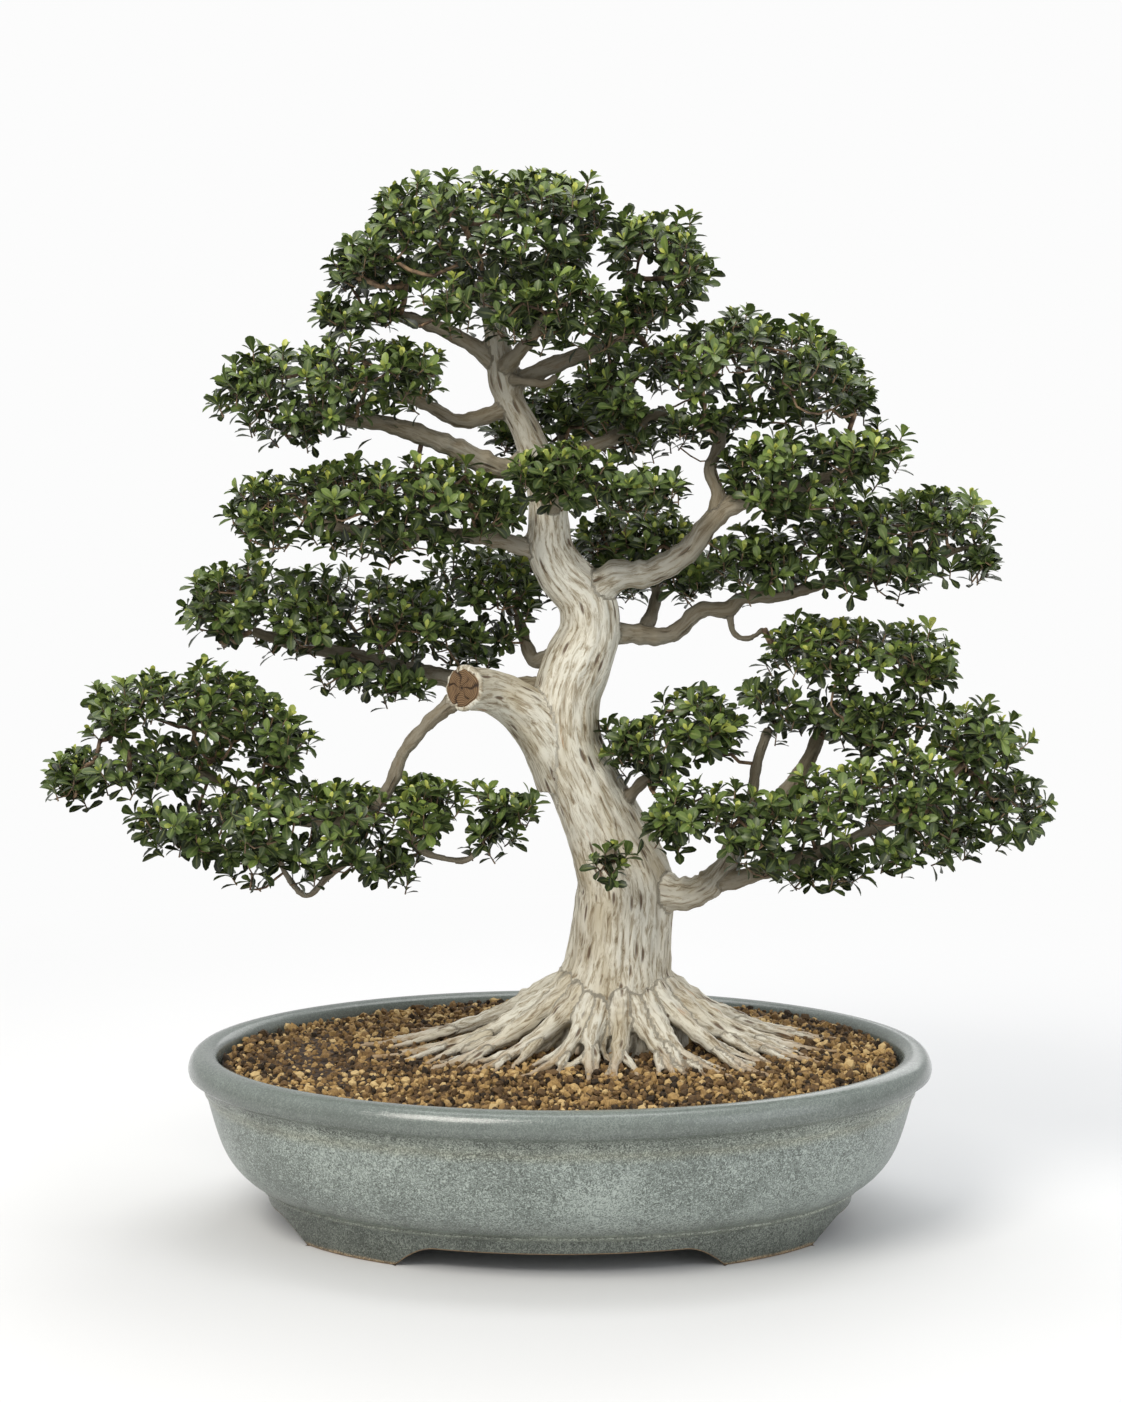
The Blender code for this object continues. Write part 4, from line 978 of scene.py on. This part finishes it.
def strew_granules(settings):
    """Angular granules, each a squashed and chipped lump of its own size and tone, one layer and some on top."""
    rng = np.random.default_rng(3)
    shape = bmesh.new()
    bmesh.ops.create_icosphere(shape, subdivisions=1, radius=0.5)
    lump = np.array([v.co for v in shape.verts])
    sides = np.array([[v.index for v in f.verts] for f in shape.faces])
    shape.free()
    size = settings.granule
    reach_x = POT_HALF_LENGTH - RIM_WIDTH - 3 * MM
    reach_y = POT_HALF_DEPTH - RIM_WIDTH - 3 * MM
    spots = []
    for layer, pitch, lift in ((0, 0.86, 0.0), (1, 1.5, 0.5)):
        step = size * pitch
        for row, y in enumerate(np.arange(-reach_y, reach_y, step * 0.87)):
            for x in np.arange(-reach_x, reach_x, step) + (row % 2) * step / 2:
                spots.append((x, y, lift * size, layer))
    spots = np.array(spots)
    spots[:, :2] += rng.uniform(-0.45, 0.45, (len(spots), 2)) * size
    keep = (spots[:, 0] / (reach_x - size / 2)) ** 2 + (spots[:, 1] / (reach_y - size / 2)) ** 2 < 1
    foot = np.hypot(spots[:, 0] / MM - TREE_FOOT.x, spots[:, 1] / MM - TREE_FOOT.y)
    spots = spots[keep & (foot > 40)]
    count = len(spots)
    scale = size * np.clip(rng.lognormal(0, 0.26, count), 0.55, 1.65)
    shaped = lump[None] * rng.uniform(0.5, 1.25, (count, 1, 3)) * rng.uniform(0.7, 1.25, (count, len(lump), 1))
    turns = rng.normal(size=(count, 4))
    turns /= np.linalg.norm(turns, axis=1)[:, None]
    w, i, j, k = turns.T
    spin = np.stack(
        (
            np.stack((1 - 2 * (j * j + k * k), 2 * (i * j - k * w), 2 * (i * k + j * w)), axis=1),
            np.stack((2 * (i * j + k * w), 1 - 2 * (i * i + k * k), 2 * (j * k - i * w)), axis=1),
            np.stack((2 * (i * k - j * w), 2 * (j * k + i * w), 1 - 2 * (i * i + j * j)), axis=1),
        ),
        axis=1,
    )
    shaped = np.einsum("nij,nvj->nvi", spin, shaped) * scale[:, None, None]
    level = np.array([soil_level(x + POT_MIDDLE, y) for x, y in spots[:, :2]])
    place = np.stack((spots[:, 0] + POT_MIDDLE, spots[:, 1], level + spots[:, 2] + 0.12 * scale), axis=1)
    damp = noise_at(place / (55 * MM)) * 0.16
    tone = np.clip(rng.normal(0.31, 0.25, count) + damp + 0.05 * spots[:, 3], 0.0, 0.9)
    finish = fired_clay_granules(settings)
    in_front = place[:, 1] < 0
    for name, mine in (("front_granules", in_front), ("back_granules", ~in_front)):
        points = (shaped[mine] + place[mine, None]).reshape(-1, 3)
        faces = (sides[None] + np.arange(mine.sum())[:, None, None] * len(lump)).reshape(-1, 3).tolist()
        bed = new_piece(name, points, faces, finish, smooth=False)
        put_attribute(bed.data, "tone", np.repeat(tone[mine], len(lump)))


def cloud_skin(node):
    """A foliage solid's triangles, their normals and their areas."""
    mesh = node.data
    mesh.calc_loop_triangles()
    corners = np.empty(len(mesh.vertices) * 3)
    mesh.vertices.foreach_get("co", corners)
    corners = corners.reshape(-1, 3)
    index = np.empty(len(mesh.loop_triangles) * 3, int)
    mesh.loop_triangles.foreach_get("vertices", index)
    triangles = corners[index.reshape(-1, 3)]
    cross = np.cross(triangles[:, 1] - triangles[:, 0], triangles[:, 2] - triangles[:, 0])
    area = np.linalg.norm(cross, axis=1) / 2
    return triangles, cross / np.maximum(2 * area, 1e-12)[:, None], area


def scatter(rng, triangles, normals, area, spacing):
    """Places on the skin no nearer to each other than the spacing."""
    tries = int(area.sum() / spacing**2 * 5)
    chosen = rng.choice(len(area), tries, p=area / area.sum())
    a, b = rng.random((2, tries))
    turn = a + b > 1
    a[turn], b[turn] = 1 - a[turn], 1 - b[turn]
    t = triangles[chosen]
    places = t[:, 0] + (t[:, 1] - t[:, 0]) * a[:, None] + (t[:, 2] - t[:, 0]) * b[:, None]
    taken, kept = {}, []
    for n, place in enumerate(places):
        cell = tuple((place // spacing).astype(int))
        near = (
            other
            for dx in (-1, 0, 1)
            for dy in (-1, 0, 1)
            for dz in (-1, 0, 1)
            for other in taken.get((cell[0] + dx, cell[1] + dy, cell[2] + dz), ())
        )
        if all(((place - places[other]) ** 2).sum() > spacing**2 for other in near):
            taken.setdefault(cell, []).append(n)
            kept.append(n)
    return places[kept], normals[chosen[kept]]


def unit(rows):
    """Rows of directions at length one."""
    return rows / np.maximum(np.linalg.norm(rows, axis=1), 1e-9)[:, None]


# A leaf's rows along it: how far along, half its width there, and how far it has bent back
LEAF_ROWS = ((0.0, 0.035, 0.0), (0.3, 0.13, 0.02), (0.62, 0.245, 0.0), (0.86, 0.205, -0.05), (1.0, 0.045, -0.09))
LEAF_CUP = 0.16  # how high its sides stand, as a share of the half width


def leaf_mesh(name, base, ahead, face_up, length, tone, finish, node):
    """Leaves from their base, direction, upper side, length and tone, as one piece."""
    side = unit(np.cross(ahead, face_up))
    up = np.cross(side, ahead)
    template, spots = [], []
    for far, half, bend in LEAF_ROWS:
        for edge in (-1, 0, 1):
            template.append((edge * half, far, bend + abs(edge) * half * LEAF_CUP * 2))
            spots.append(((edge + 1) / 2, far))
    template, spots = np.array(template), np.array(spots)
    count = len(base)
    points = base[:, None] + length[:, None, None] * (
        template[None, :, :1] * side[:, None] + template[
            None, :, 1:2
        ] * ahead[:, None] + template[None, :, 2:] * up[:, None]
    )
    quads = []
    for row in range(len(LEAF_ROWS) - 1):
        for column in range(2):
            first = row * 3 + column
            quads.append((first, first + 1, first + 4, first + 3))
    quads = np.array(quads)
    faces = (quads[None] + np.arange(count)[:, None, None] * len(template)).reshape(-1, 4)
    piece = new_piece(name, points.reshape(-1, 3), faces.tolist(), finish, (node,))
    strip = np.clip((tone * LEAF_TONES).astype(int), 0, LEAF_TONES - 1)
    wide = (strip[:, None] + 0.08 + 0.84 * spots[None, :, 0]) / LEAF_TONES
    high = np.broadcast_to(0.02 + 0.96 * spots[:, 1], wide.shape)
    layer = piece.data.uv_layers.new(name=BAKE_MAP)
    corner = faces.ravel()
    layer.data.foreach_set(
        "uv", np.stack((wide.ravel()[corner], high.ravel()[corner]), axis=1).astype(np.float32).ravel()
    )
    return piece


def grow_shoots(rng, places, normals):
    """Each shoot's tip and direction on one cloud."""
    count = len(places)
    jitter = rng.normal(size=(count, 3))
    level = normals * (1.0, 1.0, 0.3)
    below = np.clip(-normals[:, 2] * 1.6, 0, 1)[:, None]
    axis = unit(normals * 0.75 * (1 - below) + level * 0.9 * below + np.array((0, 0, 0.8)) + jitter * 0.3)
    stray = np.where(rng.random(count) < 0.22, rng.uniform(2, 8, count), rng.uniform(-5, 2, count)) * MM
    stray += 6 * MM * noise_at(places / (24 * MM)) - 4.5 * MM
    tips = places + normals * stray[:, None]
    return tips, axis


def leaf_rosettes(rng, tips, axis, settings):
    """Rosettes: two young leaves at the heart, a whorl of full leaves under them and pairs down the stem."""
    count = len(tips)
    side = unit(np.cross(axis, rng.normal(size=(count, 3))))
    other = np.cross(axis, side)
    start = rng.uniform(0, 2 * np.pi, count)
    vigour = rng.normal(0.0, 1.0, count)
    bases, aheads, ups, lengths, tones = [], [], [], [], []
    # Turn round the stem, tilt off it, how far down it, length and tone of each leaf
    for turn, tilt, down, length, tone in (
        (0.0, 20, -0.6, 0.5, 0.93), (3.1, 26, -0.4, 0.56, 0.9), (1.2, 44, 0.6, 0.86, 0.7), (2.9, 50, 0.9, 0.95, 0.62),
        (4.6, 54, 1.2, 1.0, 0.56), (6.0, 60, 1.6, 1.0, 0.54), (0.6, 66, 3.6, 1.05, 0.44), (2.2, 72, 4.8, 1.05, 0.4),
        (3.9, 76, 6.4, 1.0, 0.36), (5.4, 82, 8.4, 0.95, 0.32),
    ):
        here = start + turn + rng.normal(0, 0.22, count)
        lean = np.radians(tilt + rng.normal(0, 9, count))
        spoke = side * np.cos(here)[:, None] + other * np.sin(here)[:, None]
        ahead = axis * np.cos(lean)[:, None] + spoke * np.sin(lean)[:, None]
        bases.append(tips - axis * (down * MM))
        aheads.append(ahead)
        ups.append(axis * np.sin(lean)[:, None] - spoke * np.cos(lean)[:, None] + rng.normal(0, 0.16, (count, 3)))
        lengths.append(settings.length * length * rng.normal(1.0, 0.12, count))
        tones.append(np.clip(tone + 0.07 * vigour + rng.normal(0, 0.07, count), 0.02, 0.98))
    return [np.concatenate(rows) for rows in (bases, aheads, ups, lengths, tones)]


def clip_foliage(settings, routes):
    """Leaves on every cloud, with the twigs that carry them from the limbs."""
    finish = waxy_leaf(settings)
    clouds = {name: node for name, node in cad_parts.items() if name.startswith("foliage_")}
    skins = {name: BVHTree.FromPolygons(
        [v.co for v in node.data.vertices], [tuple(p.vertices) for p in node.data.polygons]
    ) for name, node in clouds.items()}
    twigs = []
    wood_rows = np.vstack([route for _, route, _ in routes])
    wood = KDTree(len(wood_rows))
    for i, row in enumerate(wood_rows):
        wood.insert(row[:3], i)
    wood.balance()
    for number, (name, node) in enumerate(sorted(clouds.items())):
        rng = np.random.default_rng(settings.seed + number)
        triangles, normals, area = cloud_skin(node)
        places, outs = scatter(rng, triangles, normals, area, settings.spacing)
        low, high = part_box(name)
        open_air = np.ones(len(places), bool)
        for i, (place, out) in enumerate(zip(places, outs)):
            probe = Vector(place + out * 7 * MM)
            for other, skin in skins.items():
                if other == name:
                    continue
                spot, facing, _, gap = skin.find_nearest(probe, 12 * MM)
                if spot is not None and (probe - spot).dot(facing) < 0:
                    open_air[i] = False
                    break
            if open_air[i]:
                spot, row, gap = wood.find(place)
                open_air[i] = gap - wood_rows[row][3] > 2 * MM
        bare = (outs[:, 2] < -0.45) & (rng.random(len(places)) < 0.4)
        hole = noise_at(places / (15 * MM) + 7.3) < -0.31
        keep = open_air & ~bare & ~hole
        tips, axis = grow_shoots(rng, places[keep], outs[keep])
        lots = leaf_rosettes(rng, tips, axis, settings)
        # Old leaves a little way in, darkened partly for their age and partly as painted shade inside the cloud
        inner, inward = scatter(rng, triangles, normals, area, settings.spacing * 1.05)
        inner = inner - inward * rng.uniform(9, 15, len(inner))[:, None] * MM
        shaded = len(inner)
        turned = unit(rng.normal(size=(shaded, 3)) + np.array((0, 0, 0.2)))
        shade = (
            inner, turned, unit(np.array((0, 0, 1.0)) + rng.normal(0, 0.5, (shaded, 3))),
            settings.length * rng.uniform(0.8, 1.1, shaded), np.clip(rng.normal(0.16, 0.08, shaded), 0, 0.4),
        )
        base, ahead, up, length, tone = (np.concatenate(pair) for pair in zip(lots, shade))
        # Painted light and shade: leaves high in a cloud get a lighter tone, leaves low in it a darker one
        painted_top_light = np.clip((base[:, 2] - low.z) / max(high.z - low.z, 1e-6), 0, 1)
        tone = np.clip(tone - 0.12 + 0.2 * painted_top_light, 0, 0.99)
        leaf_mesh(name.replace("foliage", "leaves"), base, ahead, up, length, tone, finish, name)
        twigs += twigs_of(rng, tips - axis * 7 * MM, low, high, wood_rows)
        for tip, way in zip(tips, axis):
            stem = np.array(
                [[*(tip - way * 9 * MM), 0.55 * MM], [*(tip - way * 3 * MM), 0.45 * MM], [*tip, 0.3 * MM]]
            )
            twigs.append(tube(stem, 3, closed=False))
    points, faces = joined(twigs)
    new_piece("fine_twigs", points, faces, young_twig())


def twigs_of(rng, ends, low, high, wood_rows):
    """Forking twigs from the limbs inside one cloud to some of its shoots, thicker the more they carry."""
    margin = 16 * MM
    inside = np.all(
        (wood_rows[:, :3] > np.array(low) - margin) & (wood_rows[:, :3] < np.array(high) + margin), axis=1
    )
    sources = wood_rows[inside & (wood_rows[:, 3] < 9 * MM)]
    if not len(sources):
        sources = wood_rows[inside]
    ends = ends[rng.permutation(len(ends))[: max(8, len(ends) // 3)]]
    spots = [row[:3] for row in sources]
    parent = [-1] * len(spots)
    far = np.array([np.linalg.norm(sources[:, :3] - end, axis=1).min() for end in ends])
    paths = []
    for end in ends[np.argsort(far)]:
        here = np.array(spots)
        reach = np.linalg.norm(here - end, axis=1)
        start = int(reach.argmin())
        if reach[start] < 2 * MM:
            continue
        steps = max(2, int(reach[start] / (6 * MM)))
        path, before = [start], start
        bow = rng.normal(0, 0.1, 3) * reach[start] + np.array((0, 0, -0.1)) * reach[start]
        for step in range(1, steps + 1):
            t = step / steps
            spot = here[start] + (
                end - here[start]
            ) * t + bow * 4 * t * (1 - t) + rng.normal(0, 0.5 * MM, 3) * (t < 1)
            spots.append(spot)
            parent.append(before)
            before = len(spots) - 1
            path.append(before)
        paths.append(path)
    carried = np.zeros(len(spots))
    for path in paths:
        at = path[-1]
        while at >= 0:
            carried[at] += 1
            at = parent[at]
    made = []
    for path in paths:
        girth = np.minimum(0.5 * MM * np.maximum(carried[path], 1) ** 0.42, 2.2 * MM)
        girth[0] = girth[1]
        rows = np.column_stack((np.array([spots[i] for i in path]), girth))
        made.append(tube(rows, 5, closed=False))
    return made


NETTING_STRANDS = 15
STRAND = 0.45 * MM


def weave_netting():
    """Drainage netting over each hole, a grid of fused strands 3 mm apart."""
    finish = drainage_plastic()
    for side in ("left", "right"):
        node = "drain_screen_" + side
        low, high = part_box(node)
        middle = (low + high) / 2
        half = (high.x - low.x) / 2
        parts = []
        for step in range(NETTING_STRANDS):
            off = (step / (NETTING_STRANDS - 1) * 2 - 1) * (half - 0.5 * MM)
            for lift, start, end in (
                (-0.15 * MM, (off, -half, 0), (off, half, 0)), (0.15 * MM, (-half, off, 0), (half, off, 0))
            ):
                rows = [[*(middle + Vector(p) + Vector((0, 0, lift))), STRAND] for p in (start, end)]
                parts.append(tube(np.array(rows), 6))
        points, faces = joined(parts)
        new_piece("netting_" + side, points, faces, finish, (node,))


def build_stage(settings):
    """A pale floor that fades into a backdrop of the same tone, soft lights and the camera."""
    scene = bpy.context.scene
    scene.view_settings.view_transform = "Standard"
    shape = bmesh.new()
    bmesh.ops.create_circle(shape, cap_ends=True, segments=96, radius=FLOOR_REACH)
    mesh = bpy.data.meshes.new("floor")
    shape.to_mesh(mesh)
    shape.free()
    floor = bpy.data.objects.new("floor", mesh)
    floor.location.z = -FLOOR_DROP
    scene.collection.objects.link(floor)

    made = bpy.data.materials.new("seamless paper")
    made.use_nodes = True
    tree = made.node_tree
    paper = tree.nodes["Principled BSDF"]
    paper.inputs["Base Color"].default_value = (*settings.floor, 1.0)
    paper.inputs["Roughness"].default_value = 0.9
    paper.inputs["Specular IOR Level"].default_value = 0.2
    place = add(tree, "TexCoord").outputs["Object"]
    out = add(tree, "VectorMath", {0: place}, operation="LENGTH")
    far = add(
        tree, "MapRange", {"Value": out.outputs["Value"], "From Min": FLOOR_FADE[0], "From Max": FLOOR_FADE[1]},
        interpolation_type="SMOOTHSTEP",
    )
    glow = add(tree, "Emission", {"Color": BACKDROP, "Strength": 1.0})
    mixed = add(tree, "MixShader", {0: far, 1: paper, 2: glow})
    feed(tree, tree.nodes["Material Output"], {"Surface": mixed})
    mesh.materials.append(made)

    world = bpy.data.worlds.new("studio")
    world.use_nodes = True
    scene.world = world
    tree = world.node_tree
    seen = add(tree, "Background", {"Color": BACKDROP, "Strength": 1.0})
    lit = add(tree, "Background", {"Color": (1.0, 1.0, 1.0, 1.0), "Strength": 0.62})
    ray = add(tree, "LightPath")
    both = add(tree, "MixShader", {0: ray.outputs["Is Camera Ray"], 1: lit, 2: seen})
    feed(tree, tree.nodes["World Output"], {"Surface": both})

    for name, place, aim, size, watts, colour in (
        ("key", (-1.0, -1.5, 1.9), (0.0, 0.0, 0.25), 1.1, 42.0, "#fffaf2"),
        ("fill", (1.6, -1.2, 0.9), (0.0, 0.0, 0.25), 1.4, 9.0, "#f4f8ff"),
        ("top", (0.1, 0.5, 2.2), (0.0, 0.0, 0.3), 1.6, 22.0, "#ffffff"),
        ("back", (0.9, 1.8, 1.3), (0.0, 0.0, 0.3), 1.4, 10.0, "#ffffff"),
    ):
        lamp = bpy.data.lights.new(name, "AREA")
        lamp.shape = "SQUARE"
        lamp.size = size
        lamp.energy = watts
        lamp.color = linear(colour)
        held = bpy.data.objects.new(name, lamp)
        held.location = place
        held.rotation_euler = (Vector(aim) - Vector(place)).to_track_quat("-Z", "Y").to_euler()
        scene.collection.objects.link(held)

    lens = bpy.data.cameras.new("camera")
    lens.lens = settings.lens
    lens.sensor_width = 36.0
    lens.clip_end = 50.0
    lens.shift_y = EYE_SHIFT
    camera = bpy.data.objects.new("camera", lens)
    camera.location = EYE
    camera.rotation_euler = (math.radians(90 - EYE_PITCH), 0.0, 0.0)
    scene.collection.objects.link(camera)
    scene.camera = camera


class BONSAI_OT_stage(bpy.types.Operator):
    """Lay the floor, hang the lights and set up the camera"""

    bl_idname = "bonsai.stage"
    bl_label = "Stage"

    def execute(self, context):
        build_stage(context.scene.bonsai_stage)
        return {"FINISHED"}


class BONSAI_OT_pot(bpy.types.Operator):
    """Throw the oval pot, cut its feet and glaze it"""

    bl_idname = "bonsai.pot"
    bl_label = "Pot"

    def execute(self, context):
        throw_pot(context.scene.bonsai_pot)
        return {"FINISHED"}


class BONSAI_OT_drainage(bpy.types.Operator):
    """Lay the netting over the drain holes and finish the wires"""

    bl_idname = "bonsai.drainage"
    bl_label = "Drainage"

    def execute(self, context):
        weave_netting()
        wire = drawn_aluminium()
        for name in ("drain_clip_left", "drain_clip_right", "tie_wire"):
            node_finish(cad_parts[name], wire)
        return {"FINISHED"}


class BONSAI_OT_soil(bpy.types.Operator):
    """Finish the soil bed and strew its loose granules"""

    bl_idname = "bonsai.soil"
    bl_label = "Soil"

    def execute(self, context):
        node_finish(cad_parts["soil"], damp_bed())
        strew_granules(context.scene.bonsai_soil)
        return {"FINISHED"}


class BONSAI_OT_wood(bpy.types.Operator):
    """Grow the trunk, roots and limbs and saw the stub"""

    bl_idname = "bonsai.wood"
    bl_label = "Wood"

    def execute(self, context):
        saw_cut(*grow_wood(context.scene.bonsai_wood))
        return {"FINISHED"}


class BONSAI_OT_foliage(bpy.types.Operator):
    """Grow the twigs and leaves of every cloud"""

    bl_idname = "bonsai.foliage"
    bl_label = "Foliage"

    def execute(self, context):
        clip_foliage(context.scene.bonsai_leaf, wood_routes())
        return {"FINISHED"}


class BONSAI_PT_panel(bpy.types.Panel):
    """Sidebar panel with every step of the bonsai"""

    bl_label = "Bonsai"
    bl_idname = "BONSAI_PT_panel"
    bl_space_type = "VIEW_3D"
    bl_region_type = "UI"
    bl_category = "Bonsai"

    def draw(self, context):
        for group, steps in SETTINGS_OF.items():
            box = self.layout.box()
            settings = getattr(context.scene, group)
            for name in settings.bl_rna.properties.keys():
                if name not in ("rna_type", "name"):
                    box.prop(settings, name)
            for step in steps:
                box.operator(step)


SETTINGS_OF = {
    "bonsai_stage": ("bonsai.stage",),
    "bonsai_pot": ("bonsai.pot", "bonsai.drainage"),
    "bonsai_soil": ("bonsai.soil",),
    "bonsai_wood": ("bonsai.wood",),
    "bonsai_leaf": ("bonsai.foliage",),
}
GROUPS = (StageSettings, PotSettings, SoilSettings, WoodSettings, LeafSettings)
CLASSES = (
    *GROUPS,
    BONSAI_OT_stage,
    BONSAI_OT_pot,
    BONSAI_OT_drainage,
    BONSAI_OT_soil,
    BONSAI_OT_wood,
    BONSAI_OT_foliage,
    BONSAI_PT_panel,
)


def register():
    for made in CLASSES:
        bpy.utils.register_class(made)
    for name, group in zip(SETTINGS_OF, GROUPS):
        setattr(bpy.types.Scene, name, PointerProperty(type=group))


def unregister():
    for name in SETTINGS_OF:
        delattr(bpy.types.Scene, name)
    for made in reversed(CLASSES):
        bpy.utils.unregister_class(made)


def main():
    register()
    bpy.ops.bonsai.stage()
    bpy.ops.bonsai.pot()
    bpy.ops.bonsai.drainage()
    bpy.ops.bonsai.soil()
    bpy.ops.bonsai.wood()
    bpy.ops.bonsai.foliage()
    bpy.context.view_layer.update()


if __name__ == "__main__":
    main()
